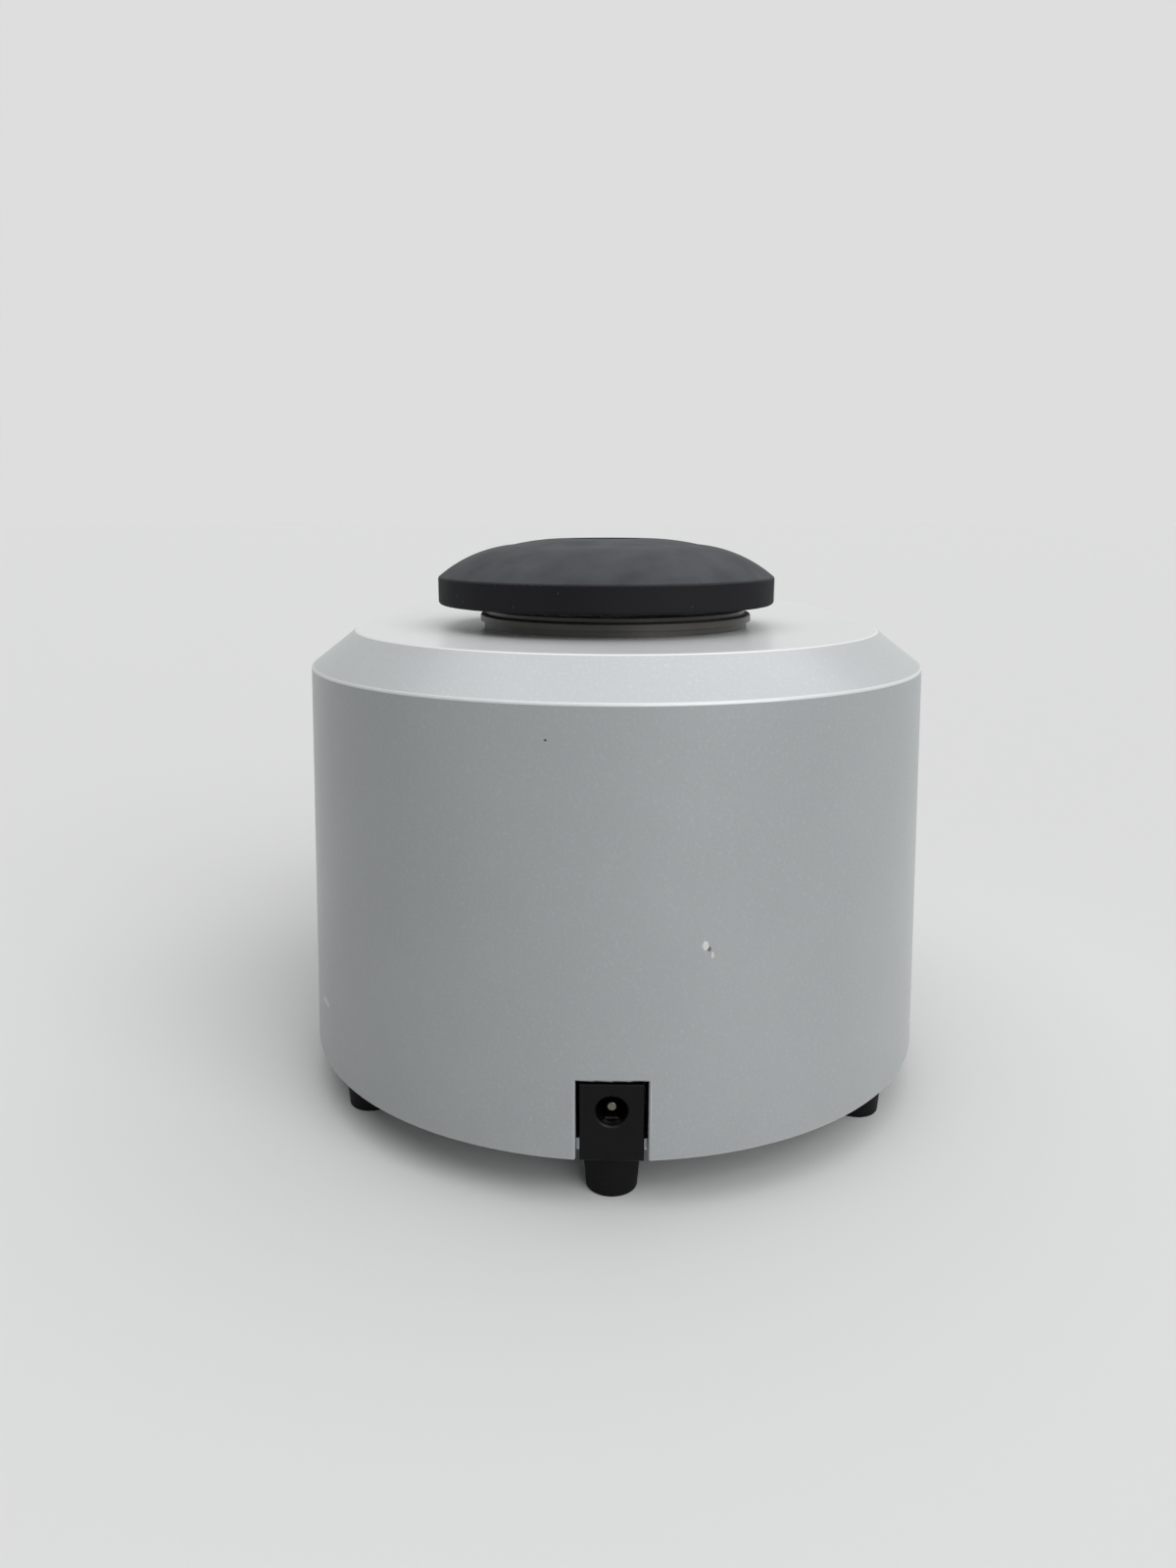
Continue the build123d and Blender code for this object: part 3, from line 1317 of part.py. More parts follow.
# Head: a metal disc screwed to the hub, and the rubber cup that snaps over its edge
disc_round = 0.5
disc_screw_sink = 0.1
disc_screw_end = 0.8  # short of the hub's relief
disc_screw_seat = disc_top_z - m3_head_height - disc_screw_sink
with BuildPart() as head_disc:
    with BuildSketch(head_level(disc_bottom_z)):
        Circle(disc_radius)
    extrude(amount=disc_thickness)
    fillet(head_disc.edges(), disc_round)
    with Locations(head_level(disc_top_z)):
        with PolarLocations(disc_screw_circle, 3):
            CounterBoreHole(
                m3 + fit_gap / 2, m3_head + fit_gap, disc_top_z - disc_screw_seat, disc_thickness
            )
head_disc.part.label = "head_disc"
export_step(head_disc.part, "parts/head_disc.step")

disc_screw_places = around(disc_screw_circle, (0, 120, 240))
with BuildPart(head_level(disc_screw_seat)) as disc_screws:
    with Locations(*[Location((x, y, 0), (180, 0, 0)) for x, y in disc_screw_places]):
        add(screw(m3, disc_screw_seat - relief_top - disc_screw_end, m3_head, m3_head_height))
disc_screws.part.label = "disc_screws"
export_step(disc_screws.part, "parts/disc_screws.step")

crown_z = head_top_z - crown_drop
dome_radius = 32.0
crown_curve = 60.0
band_round = 0.8
head_side = Plane(origin=(throw_x, drive_y, 0), x_dir=(1, 0, 0), z_dir=(0, -1, 0))
with BuildPart() as rubber_head:
    with BuildSketch(head_side):
        with BuildLine():
            Polyline(
                (0, disc_top_z + fit_gap),
                (disc_radius + fit_gap, disc_top_z + fit_gap),
                (disc_radius + fit_gap, disc_bottom_z - fit_gap),
                (lip_radius, disc_bottom_z - fit_gap),
                (lip_radius, lip_bottom_z),
                (skirt_radius, lip_bottom_z),
                (skirt_radius, head_bottom_z),
                (head_radius, head_bottom_z),
                (head_radius, band_top_z),
            )
            RadiusArc((head_radius, band_top_z), (crown_radius, crown_z), -dome_radius)
            RadiusArc((crown_radius, crown_z), (cup_radius, head_top_z), -crown_curve)
            Polyline(
                (cup_radius, head_top_z),
                (cup_bottom_radius, head_top_z - cup_depth),
                (0, head_top_z - cup_depth),
                (0, disc_top_z + fit_gap),
            )
        make_face()
    revolve(axis=Axis((throw_x, drive_y, 0), (0, 0, 1)))
    rim_edges = rubber_head.edges().filter_by(GeomType.CIRCLE)
    fillet(rim_edges.filter_by(lambda edge: abs(edge.radius - head_radius) < 0.01), band_round)
rubber_head.part.label = "rubber_head"
export_step(rubber_head.part, "parts/rubber_head.step")

# Touch switch on its bracket: the motor plate pushes the lever down, and the lever the plunger
lever_hinge_rise = 0.7  # above the case
ear_length = 2.4  # the two ears that hold the lever's hinge
ear_height = 2.2
ear_root = 0.5
switch_tag_thickness = 0.6
switch_tag_width = 3.0
switch_tag_drop = 4.0
switch_tag_inset = 2.0
fixing_rise = 3.0  # bottom of the case to the fixing holes
fixing_radius = 1.0
fixing_head = 1.9
fixing_head_height = 1.3
plunger_room = 0.3  # below the plunger at the end of its travel
switch_x = -switch_radius_out
switch_bottom = switch_top - switch_height
lever_root_y = drive_y - lever_length / 2
lever_root_z = switch_top + lever_hinge_rise
lever_tip_z = motor_plate_bottom - fit_gap - lever_thickness / 2
lever_rise = lever_tip_z - lever_root_z
trunnion_radius = 0.5
lever_width = 4.2
lever_y = lever_root_y + plunger_place
plunger_top = lever_root_z + lever_rise * plunger_place / lever_length - lever_thickness / 2 - fit_gap
plunger_length = 3.6
plunger_drop = press_travel * plunger_place / lever_length
fixing_spacing = 9.5
fixing_z = switch_bottom + fixing_rise
fixing_plane = Plane(origin=(bracket_x, drive_y, fixing_z), x_dir=(0, 1, 0), z_dir=(1, 0, 0))
trunnion_plane = Plane(
    origin=(switch_x - switch_width / 2, lever_root_y, lever_root_z),
    x_dir=(0, 1, 0),
    z_dir=(1, 0, 0),
)
lever_side = Plane(origin=(switch_x - lever_width / 2, 0, 0), x_dir=(0, 1, 0), z_dir=(1, 0, 0))
with BuildPart() as touch_switch:
    with BuildSketch(Plane(origin=(switch_x, drive_y, switch_bottom))):
        Rectangle(switch_width, switch_length)
    extrude(amount=switch_height)
    with BuildSketch(Plane(origin=(switch_x, lever_root_y, switch_top - ear_root))):
        Rectangle(switch_width, ear_length)
        Rectangle(lever_width + 2 * fit_gap, ear_length, mode=Mode.SUBTRACT)
    extrude(amount=ear_height)
    with BuildSketch(Plane(origin=(switch_x, drive_y, switch_bottom))):
        with GridLocations(0, switch_length / 2 - switch_tag_inset, 1, 3):
            Rectangle(switch_tag_thickness, switch_tag_width)
    extrude(amount=-switch_tag_drop)
    with BuildSketch(trunnion_plane):
        Circle(trunnion_radius + run_gap)
    extrude(amount=2 * switch_width, mode=Mode.SUBTRACT)
    with BuildSketch(Plane(origin=(switch_x, lever_y, switch_top))):
        Circle(plunger_radius + run_gap)
    plunger_bore = switch_top - plunger_top + plunger_length + plunger_drop + plunger_room
    extrude(amount=-plunger_bore, mode=Mode.SUBTRACT)
    with BuildSketch(fixing_plane):
        with GridLocations(fixing_spacing, 0, 2, 1):
            Circle(fixing_radius + fit_gap)
    extrude(amount=2 * switch_width, mode=Mode.SUBTRACT)
touch_switch.part.label = "touch_switch"
export_step(touch_switch.part, "parts/touch_switch.step")

with BuildPart() as switch_lever:
    with BuildSketch(lever_side):
        with BuildLine():
            Polyline(
                (lever_root_y, lever_root_z - lever_thickness / 2),
                (lever_root_y + lever_length, lever_tip_z - lever_thickness / 2),
                (lever_root_y + lever_length, lever_tip_z + lever_thickness / 2),
                (lever_root_y, lever_root_z + lever_thickness / 2),
                close=True,
            )
        make_face()
    extrude(amount=lever_width)
    with BuildSketch(trunnion_plane):
        Circle(trunnion_radius)
    extrude(amount=switch_width)
switch_lever.part.label = "switch_lever"
export_step(switch_lever.part, "parts/switch_lever.step")

with BuildPart() as switch_plunger:
    with BuildSketch(Plane(origin=(switch_x, lever_y, plunger_top))):
        Circle(plunger_radius)
    extrude(amount=-plunger_length)
    fillet(switch_plunger.edges().group_by(Axis.Z)[-1], small_round)
switch_plunger.part.label = "switch_plunger"
export_step(switch_plunger.part, "parts/switch_plunger.step")

bracket_width = 18.0
bracket_head_room = 1.0  # switch above the top of the bracket
slot_border = 10.7
slot_width = 9.0
slot_length = fixing_z - plate_top_z - 2 * slot_border
with BuildPart() as switch_bracket:
    with BuildSketch(Plane(origin=(bracket_x, drive_y, plate_top_z))):
        Rectangle(bracket_thickness, bracket_width, align=(Align.MAX, Align.CENTER))
    extrude(amount=switch_top - bracket_head_room - plate_top_z)
    with BuildSketch(Plane(origin=(bracket_x, drive_y, plate_top_z))):
        Rectangle(bracket_foot, bracket_width, align=(Align.MAX, Align.CENTER))
    extrude(amount=bracket_thickness)
    with BuildSketch(fixing_plane):
        with GridLocations(fixing_spacing, 0, 2, 1):
            Circle(fixing_radius + fit_gap / 3)
        with Locations((0, (plate_top_z - fixing_z) / 2)):
            SlotOverall(slot_length, slot_width, rotation=90)
    extrude(amount=-2 * bracket_thickness, mode=Mode.SUBTRACT)
    with BuildSketch(Plane(origin=(0, drive_y, plate_top_z))):
        with Locations(*bracket_screw_places):
            Circle(m3 + fit_gap)
    extrude(amount=bracket_thickness, mode=Mode.SUBTRACT)
switch_bracket.part.label = "switch_bracket"
export_step(switch_bracket.part, "parts/switch_bracket.step")

fixing_length = switch_width + bracket_thickness
with BuildPart(fixing_plane.offset(switch_width + fit_gap)) as switch_screws:
    with Locations(
        *[Location((x, 0, 0), (180, 0, 0)) for x in (-fixing_spacing / 2, fixing_spacing / 2)]
    ):
        add(screw(fixing_radius, fixing_length, fixing_head, fixing_head_height))
switch_screws.part.label = "switch_screws"
export_step(switch_screws.part, "parts/switch_screws.step")

with BuildPart(level(plate_top_z + bracket_thickness)) as bracket_screws:
    with Locations(*[Location((x, y, 0), (180, 0, 0)) for x, y in bracket_screw_places]):
        add(screw(m3, bracket_thickness + bracket_screw_reach, m3_head, m3_head_height))
bracket_screws.part.label = "bracket_screws"
export_step(bracket_screws.part, "parts/bracket_screws.step")
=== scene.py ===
# Laboratory vortex mixer, seen from the rear: its finishes and printed marks, and the studio it
# stands in. The sections follow the mixer as it is put together, from the housing up.
import json
import math

import bmesh
import bpy
from mathutils import Matrix, Vector


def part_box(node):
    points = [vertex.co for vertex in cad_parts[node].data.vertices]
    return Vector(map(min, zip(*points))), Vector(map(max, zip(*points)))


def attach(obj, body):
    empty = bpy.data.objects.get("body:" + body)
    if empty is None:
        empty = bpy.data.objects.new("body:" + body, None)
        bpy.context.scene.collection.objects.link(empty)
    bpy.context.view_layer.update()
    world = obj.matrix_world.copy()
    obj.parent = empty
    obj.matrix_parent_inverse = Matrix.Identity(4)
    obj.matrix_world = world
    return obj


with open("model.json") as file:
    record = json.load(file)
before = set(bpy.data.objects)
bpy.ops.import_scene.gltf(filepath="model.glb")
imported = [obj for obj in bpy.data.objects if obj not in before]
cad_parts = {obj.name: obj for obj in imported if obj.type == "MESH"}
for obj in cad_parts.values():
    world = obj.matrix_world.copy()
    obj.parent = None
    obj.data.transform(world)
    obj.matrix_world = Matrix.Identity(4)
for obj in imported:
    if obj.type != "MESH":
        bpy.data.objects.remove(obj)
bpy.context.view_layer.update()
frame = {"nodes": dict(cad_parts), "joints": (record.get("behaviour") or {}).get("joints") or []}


# Housing
# A die-cast aluminium shell, stoved with silver-grey enamel and screwed to the base plate from below. Its
# shoulder, roof edge and rim carry painted highlights as pale bands, and the rear wall has a few small
# chips.
nodes = frame["nodes"]


def linear(code):
    """An sRGB colour such as "c0c4c6" as the linear red, green, blue and alpha that shaders take."""
    parts = [int(code[i:i + 2], 16) / 255 for i in (0, 2, 4)]
    return [c / 12.92 if c <= 0.04045 else ((c + 0.055) / 1.055) ** 2.4 for c in parts] + [1.0]


def add(tree, kind, values=None, links=None, **settings):
    """Adds a node to a tree, with its settings, its input values and the outputs that feed it."""
    node = tree.nodes.new(kind)
    for name, value in settings.items():
        setattr(node, name, value)
    for name, value in (values or {}).items():
        node.inputs[name].default_value = value
    for name, source in (links or {}).items():
        tree.links.new(source, node.inputs[name])
    return node


def start_material(name, sockets):
    """A new material, its tree, its shader and the point being shaded, in the object's metres."""
    material = bpy.data.materials.new(name)
    material.use_nodes = True
    tree = material.node_tree
    shader = tree.nodes["Principled BSDF"]
    for socket, value in sockets.items():
        shader.inputs[socket].default_value = value
    point = add(tree, "ShaderNodeTexCoord").outputs["Object"]
    return material, tree, shader, point


def mottle(tree, point, size, detail=3.0):
    """Noise whose patches are about this size in metres."""
    noise = add(tree, "ShaderNodeTexNoise", {"Scale": 1 / size, "Detail": detail}, {"Vector": point})
    return noise.outputs["Fac"]


def span(tree, value, low, high, start, end):
    """A value between low and high, brought to between start and end."""
    ends = {"From Min": low, "From Max": high, "To Min": start, "To Max": end}
    return add(tree, "ShaderNodeMapRange", ends, {"Value": value}).outputs["Result"]


def lay_over(tree, under, over, mask):
    """One colour over another, by a mask. The colours are outputs or sRGB codes."""
    mix = add(tree, "ShaderNodeMix", links={"Factor": mask}, data_type="RGBA")
    for socket, colour in ((mix.inputs[6], under), (mix.inputs[7], over)):
        if isinstance(colour, str):
            socket.default_value = linear(colour)
        else:
            tree.links.new(colour, socket)
    return mix.outputs[2]


def drift(tree, point, size, light, dark, detail=3.0):
    """A colour that drifts between two, in patches of about this size in metres."""
    return lay_over(tree, dark, light, span(tree, mottle(tree, point, size, detail), 0.35, 0.65, 0.0, 1.0))


def grain(tree, point, shader, size, height):
    """Bumps the surface with a grain of this size and height in metres."""
    values = {"Strength": 1.0, "Distance": height}
    bump = add(tree, "ShaderNodeBump", values, {"Height": mottle(tree, point, size, 2.0)})
    tree.links.new(bump.outputs["Normal"], shader.inputs["Normal"])


def handle(tree, point, shader, size, low, high):
    """Roughness that wanders between two values, as handling and dust leave it."""
    rough = span(tree, mottle(tree, point, size, 4.0), 0.3, 0.7, low, high)
    tree.links.new(rough, shader.inputs["Roughness"])


def shift(tree, point, operation, by):
    """A point with another vector, or an output, added, taken off or multiplied."""
    node = add(tree, "ShaderNodeVectorMath", links={0: point}, operation=operation)
    if isinstance(by, tuple):
        node.inputs[1].default_value = by
    else:
        tree.links.new(by, node.inputs[1])
    return node.outputs["Vector"]


def chip(tree, point, centre, reach, ragged):
    """A mask that is 1 within a reach of a place, with a ragged edge, all in metres."""
    noise = add(tree, "ShaderNodeTexNoise", {"Scale": 1 / ragged, "Detail": 3.0}, {"Vector": point})
    wander = shift(tree, noise.outputs["Color"], "SUBTRACT", (0.5, 0.5, 0.5))
    wander = shift(tree, wander, "MULTIPLY", (ragged, ragged, ragged))
    away = shift(tree, shift(tree, point, "ADD", wander), "SUBTRACT", centre)
    away = shift(tree, away, "MULTIPLY", tuple(1 / r for r in reach))
    length = add(tree, "ShaderNodeVectorMath", links={0: away}, operation="LENGTH").outputs["Value"]
    return span(tree, length, 0.85, 1.1, 1.0, 0.0)


def band(tree, value, low, high, soft):
    """A mask that is 1 between two values and fades out over a soft margin on each side."""
    rise = span(tree, value, low - soft, low, 0.0, 1.0)
    fall = span(tree, value, high, high + soft, 1.0, 0.0)
    return add(tree, "ShaderNodeMath", links={0: rise, 1: fall}, operation="MULTIPLY").outputs[0]


# Stoved silver enamel: fine aluminium flake in a satin lacquer. The flake gives a faint sparkle, a
# slow drift of tone keeps a large face from looking flat, and the skin is slightly orange-peeled.
# Real flake is finer than 0.1 mm, and is drawn coarser so that it shows.
enamel, tree, shader, point = start_material(
    "stoved_silver_enamel", {"Metallic": 0.12, "Coat Weight": 0.35, "Coat Roughness": 0.22}
)
flake_size = 0.0006
peel_size = 0.0009
peel_height = 0.000018
enamel_colour = drift(tree, point, 0.045, "bfc3c5", "babec0")
flake = span(tree, mottle(tree, point, flake_size, 1.0), 0.52, 0.78, 0.0, 0.35)
enamel_colour = lay_over(tree, enamel_colour, "d2d6d8", flake)
# Painted highlights: pale bands along the shoulder, the edge of the roof and the rim, where light catches
# the rounded corners
rim_height, roof_height = (corner.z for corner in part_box("housing"))
shoulder_height = 0.1015
highlight_fade = 0.00012
highlight_strength = 0.8
height = add(tree, "ShaderNodeSeparateXYZ", links={"Vector": point}).outputs["Z"]
highlight_bands = (
    (shoulder_height - 0.0003, shoulder_height + 0.0002),
    (roof_height - 0.0002, roof_height - 0.00003),
    (rim_height, rim_height + 0.0004),
)
for low, high in highlight_bands:
    painted_highlight = band(tree, height, low, high, highlight_fade)
    painted_highlight = add(tree, "ShaderNodeMath", {1: highlight_strength}, {0: painted_highlight}, operation="MULTIPLY").outputs[0]
    enamel_colour = lay_over(tree, enamel_colour, "eef0f0", painted_highlight)
# Each chip: its place, how far it reaches along x, y and z, and the colour it bares
chip_raggedness = 0.0006
chips = (
    ((-0.0178, 0.0880, 0.0548), (0.0006, 0.003, 0.0010), "f4f4f0"),
    ((-0.0192, 0.0877, 0.0529), (0.0003, 0.003, 0.0007), "efefea"),
    ((-0.0186, 0.0878, 0.0541), (0.0003, 0.003, 0.0006), "6e7172"),
    ((0.0664, 0.0505, 0.0255), (0.003, 0.003, 0.0008), "d9dcdc"),
    ((0.0127, 0.0877, 0.0947), (0.0003, 0.003, 0.0003), "5c5f61"),
    ((-0.0700, 0.0400, 0.0180), (0.003, 0.003, 0.0004), "e6e8e8"),
)
for place, reach, tone in chips:
    enamel_colour = lay_over(tree, enamel_colour, tone, chip(tree, point, place, reach, chip_raggedness))
tree.links.new(enamel_colour, shader.inputs["Base Color"])
handle(tree, point, shader, 0.03, 0.38, 0.46)
grain(tree, point, shader, peel_size, peel_height)
nodes["housing"].material_slots[0].material = enamel


# Base plate and its screws
# A thick steel plate inside the rim, zinc plated after it is drilled. Socket screws from below hold
# the housing, the posts and the feet on it.
def metal(name, light, dark, roughness, size, drawn=(1.0, 1.0, 1.0), height=0.000004):
    """A bare or plated metal, with marks of this size in metres, drawn out the way the tool ran."""
    material, tree, shader, point = start_material(name, {"Metallic": 1.0})
    marks = add(tree, "ShaderNodeMapping", {"Scale": drawn}, {"Vector": point}).outputs["Vector"]
    tree.links.new(drift(tree, marks, size * 6, light, dark), shader.inputs["Base Color"])
    handle(tree, marks, shader, size * 4, roughness - 0.06, roughness + 0.06)
    grain(tree, marks, shader, size, height)
    return material


def dress(material, *names):
    """Gives a material to the shown solids of these nodes."""
    for name in names:
        nodes[name].material_slots[0].material = material


# Zinc plate: pale, slightly blue, and cloudy where the bath left it
zinc_plate = metal("zinc_plated_steel", "c9cdd0", "a9aeb3", 0.38, 0.0016)
dress(zinc_plate, "base_plate")
# Plated screw steel: bright, drifting a little darker in patches
screw_steel = metal("plated_screw_steel", "b9bbbd", "8f9194", 0.34, 0.0005)
dress(screw_steel, "base_screws", "foot_screws", "panel_screws")


# Feet
# Five moulded feet of black natural rubber, each with a recess for the screw that holds it. The skin
# is dull, and picks up a little dust from the bench.
def rubber(name, light, dark, dust_and_lit_tone, share, roughness, specular):
    """Moulded black rubber with a fine skin, dust in specks, and on what faces up faint clouds of dust
    with painted light from above.
    """
    material, tree, shader, point = start_material(name, {"Specular IOR Level": specular})
    skin = drift(tree, point, 0.02, light, dark, 5.0)
    facing = add(tree, "ShaderNodeNewGeometry").outputs["Normal"]
    facing = add(tree, "ShaderNodeSeparateXYZ", links={"Vector": facing}).outputs["Z"]
    # What faces up is painted lighter: partly dust settled there, partly painted light from above
    dust_and_top_light_mask = span(tree, facing, 0.15, 0.75, 0.0, share)
    cloud = span(tree, mottle(tree, point, 0.009, 6.0), 0.25, 0.7, 0.55, 1.0)
    dust_and_top_light = add(tree, "ShaderNodeMath", links={0: dust_and_top_light_mask, 1: cloud}, operation="MULTIPLY").outputs[0]
    skin = lay_over(tree, skin, dust_and_lit_tone, dust_and_top_light)
    cells = add(tree, "ShaderNodeTexVoronoi", {"Scale": 1 / 0.0028}, {"Vector": point})
    speck = span(tree, cells.outputs["Distance"], 0.05, 0.09, 0.45, 0.0)
    skin = lay_over(tree, skin, dust_and_lit_tone, speck)
    tree.links.new(skin, shader.inputs["Base Color"])
    handle(tree, point, shader, 0.01, roughness - 0.05, roughness + 0.08)
    grain(tree, point, shader, 0.0005, 0.00003)
    return material


# Carbon-black rubber: almost no shine, with a little dust and painted light from above on what faces up,
# so darkest at the sides
foot_rubber = rubber("carbon_black_rubber", "131315", "0c0c0e", "3a3a3a", 0.3, 0.62, 0.15)
dress(foot_rubber, "feet")


# Socket in the notch at the rear
# A moulded block of black polyamide slid up into the notch, with the round mouth of a low-voltage
# socket. The centre pin and the spring leaf are nickel plated, and dull with age.
def moulded(name, light, dark, roughness, size=0.0004, height=0.000012, specular=0.5):
    """Moulded plastic: an even colour, the fine eroded texture of its tool, and a little wear."""
    material, tree, shader, point = start_material(name, {"Specular IOR Level": specular})
    tree.links.new(drift(tree, point, 0.018, light, dark), shader.inputs["Base Color"])
    handle(tree, point, shader, 0.008, roughness - 0.05, roughness + 0.05)
    grain(tree, point, shader, size, height)
    return material


# Glass-filled polyamide: a deep satin black
black_polyamide = moulded("glass_filled_polyamide", "0d0d10", "09090b", 0.32, specular=0.16)
dress(black_polyamide, "socket_block")
# Nickel plate: once bright and faintly warm, now dulled by the plug
nickel_plate = metal("nickel_plated_brass", "8d897b", "66635a", 0.26, 0.0004)
dress(nickel_plate, "socket_pin", "socket_leaf")


# Front panel
# A fascia of dark grey ABS, set into the window of the housing and held from behind by four screws.
# The scale round the knob and the marks beside the rocker are screen printed in white.

# Textured ABS: an even dark grey, with the fine matt grain of a spark-eroded tool
fascia_abs = moulded("textured_abs", "3d4043", "373a3d", 0.52, 0.0006, 0.00002)
dress(fascia_abs, "front_panel")
# Screen ink: opaque white, slightly uneven where the mesh of the screen carried less
screen_ink, tree, shader, point = start_material("screen_printing_ink", {"Roughness": 0.6})
tree.links.new(drift(tree, point, 0.0015, "f0f0ec", "dcdcd8"), shader.inputs["Base Color"])
grain(tree, point, shader, 0.0003, 0.000004)

ink_height = 0.00004
joints = {joint["name"]: joint for joint in frame["joints"]}
out_of_panel = Vector(joints["knob_turn"]["axis"])
out_of_panel *= -math.copysign(1.0, out_of_panel.y)
across_panel = Vector((1.0, 0.0, 0.0))
up_panel = out_of_panel.cross(across_panel)
knob_centre = Vector(joints["knob_turn"]["pos_m"])
rocker_centre = Vector(joints["rocker_tilt"]["pos_m"])
panel_turn = Matrix((across_panel, up_panel, out_of_panel)).transposed().to_4x4()


def new_piece(name, mesh):
    """A new object at the origin, in the scene."""
    piece = bpy.data.objects.new(name, mesh)
    bpy.context.scene.collection.objects.link(piece)
    return piece


def lay_on(node, centre, mesh, sink=0.0):
    """Lays a mesh drawn flat in XY, round a control's axis, on the face of a node, or sunk in it."""
    reach = max(vertex.co.dot(out_of_panel) for vertex in nodes[node].data.vertices) - sink
    foot = centre + out_of_panel * (reach - centre.dot(out_of_panel))
    mesh.transform(Matrix.Translation(foot) @ panel_turn)


def prism(shape, outline, thickness):
    """Adds a closed plate to a bmesh: an outline in XY, and its thickness up from there."""
    low = [shape.verts.new((x, y, 0.0)) for x, y in outline]
    high = [shape.verts.new((x, y, thickness)) for x, y in outline]
    shape.faces.new(low)
    shape.faces.new(high)
    for i, j in zip(range(len(outline)), [*range(1, len(outline)), 0]):
        shape.faces.new((low[i], low[j], high[j], high[i]))


def finish_mesh(name, shape, material):
    """Turns a bmesh into a mesh whose faces point outwards, in one material."""
    bmesh.ops.recalc_face_normals(shape, faces=shape.faces)
    mesh = bpy.data.meshes.new(name)
    shape.to_mesh(mesh)
    shape.free()
    mesh.materials.append(material)
    return mesh


# The strokes of the scale, from nought at the lower left round to ten at the lower right
dial = bpy.data.node_groups.new("dial_strokes", "GeometryNodeTree")
dial.is_modifier = True
dial_sweep = math.radians(300)
dial_sizes = {
    "Strokes": ("NodeSocketInt", 11), "Sweep": ("NodeSocketFloat", dial_sweep),
    "Radius": ("NodeSocketFloat", 0.0245), "Length": ("NodeSocketFloat", 0.0024),
    "Width": ("NodeSocketFloat", 0.0005), "Thickness": ("NodeSocketFloat", ink_height),
    "Ink": ("NodeSocketMaterial", screen_ink),
}
for label, (kind, _) in dial_sizes.items():
    dial.interface.new_socket(label, in_out="INPUT", socket_type=kind)
dial.interface.new_socket("Geometry", in_out="OUTPUT", socket_type="NodeSocketGeometry")
given = add(dial, "NodeGroupInput").outputs
index = add(dial, "GeometryNodeInputIndex").outputs["Index"]
gaps = add(dial, "ShaderNodeMath", {1: 1.0}, {0: given["Strokes"]}, operation="SUBTRACT").outputs[0]
share = add(dial, "ShaderNodeMath", links={0: index, 1: gaps}, operation="DIVIDE").outputs[0]
share = add(dial, "ShaderNodeMath", {0: 0.5}, {1: share}, operation="SUBTRACT").outputs[0]
turn = add(dial, "ShaderNodeMath", links={0: share, 1: given["Sweep"]}, operation="MULTIPLY").outputs[0]
turn = add(dial, "ShaderNodeCombineXYZ", links={"Z": turn}).outputs[0]
radius = add(dial, "ShaderNodeCombineXYZ", links={"Y": given["Radius"]}).outputs[0]
place = add(
    dial, "ShaderNodeVectorRotate", links={"Vector": radius, "Rotation": turn}, rotation_type="EULER_XYZ"
).outputs[0]
places = add(dial, "GeometryNodePoints", links={"Count": given["Strokes"], "Position": place}).outputs[0]
size = add(
    dial, "ShaderNodeCombineXYZ",
    links={"X": given["Width"], "Y": given["Length"], "Z": given["Thickness"]},
).outputs[0]
stroke = add(dial, "GeometryNodeMeshCube", links={"Size": size}).outputs["Mesh"]
strokes = add(
    dial, "GeometryNodeInstanceOnPoints", links={"Points": places, "Instance": stroke, "Rotation": turn}
).outputs[0]
strokes = add(dial, "GeometryNodeRealizeInstances", links={"Geometry": strokes}).outputs[0]
strokes = add(
    dial, "GeometryNodeSetMaterial", links={"Geometry": strokes, "Material": given["Ink"]}
).outputs[0]
add(dial, "NodeGroupOutput", links={"Geometry": strokes})

drawing = new_piece("dial_drawing", bpy.data.meshes.new("dial_drawing"))
modifier = drawing.modifiers.new("strokes", "NODES")
modifier.node_group = dial
for socket in dial.interface.items_tree:
    if socket.in_out == "INPUT":
        modifier[socket.identifier] = dial_sizes[socket.name][1]
dial_mesh = bpy.data.meshes.new_from_object(
    drawing.evaluated_get(bpy.context.evaluated_depsgraph_get())
)
bpy.data.objects.remove(drawing)
lay_on("front_panel", knob_centre, dial_mesh, -ink_height / 2)
dial_strokes = new_piece("dial_strokes", dial_mesh)
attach(dial_strokes, "chassis")

# The even numbers of the scale, outside the strokes
number_circle = 0.0284
number_size = 0.0046
last_number = 10
digits = bmesh.new()
for number in range(0, last_number + 1, 2):
    turn = dial_sweep * (0.5 - number / last_number)
    curve = bpy.data.curves.new(f"number_{number}", "FONT")
    curve.body = str(number)
    curve.size = number_size
    curve.align_x = "CENTER"
    curve.align_y = "CENTER"
    curve.extrude = ink_height / 2
    drawing = new_piece(curve.name, curve)
    digit = bpy.data.meshes.new_from_object(
        drawing.evaluated_get(bpy.context.evaluated_depsgraph_get())
    )
    bpy.data.objects.remove(drawing)
    digit.transform(Matrix.Translation(
        (-number_circle * math.sin(turn), number_circle * math.cos(turn), 0.0)
    ))
    digits.from_mesh(digit)
bmesh.ops.remove_doubles(digits, verts=digits.verts, dist=1e-7)
digit_mesh = finish_mesh("dial_numbers", digits, screen_ink)
lay_on("front_panel", knob_centre, digit_mesh, -ink_height / 2)
dial_numbers = new_piece("dial_numbers", digit_mesh)
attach(dial_numbers, "chassis")

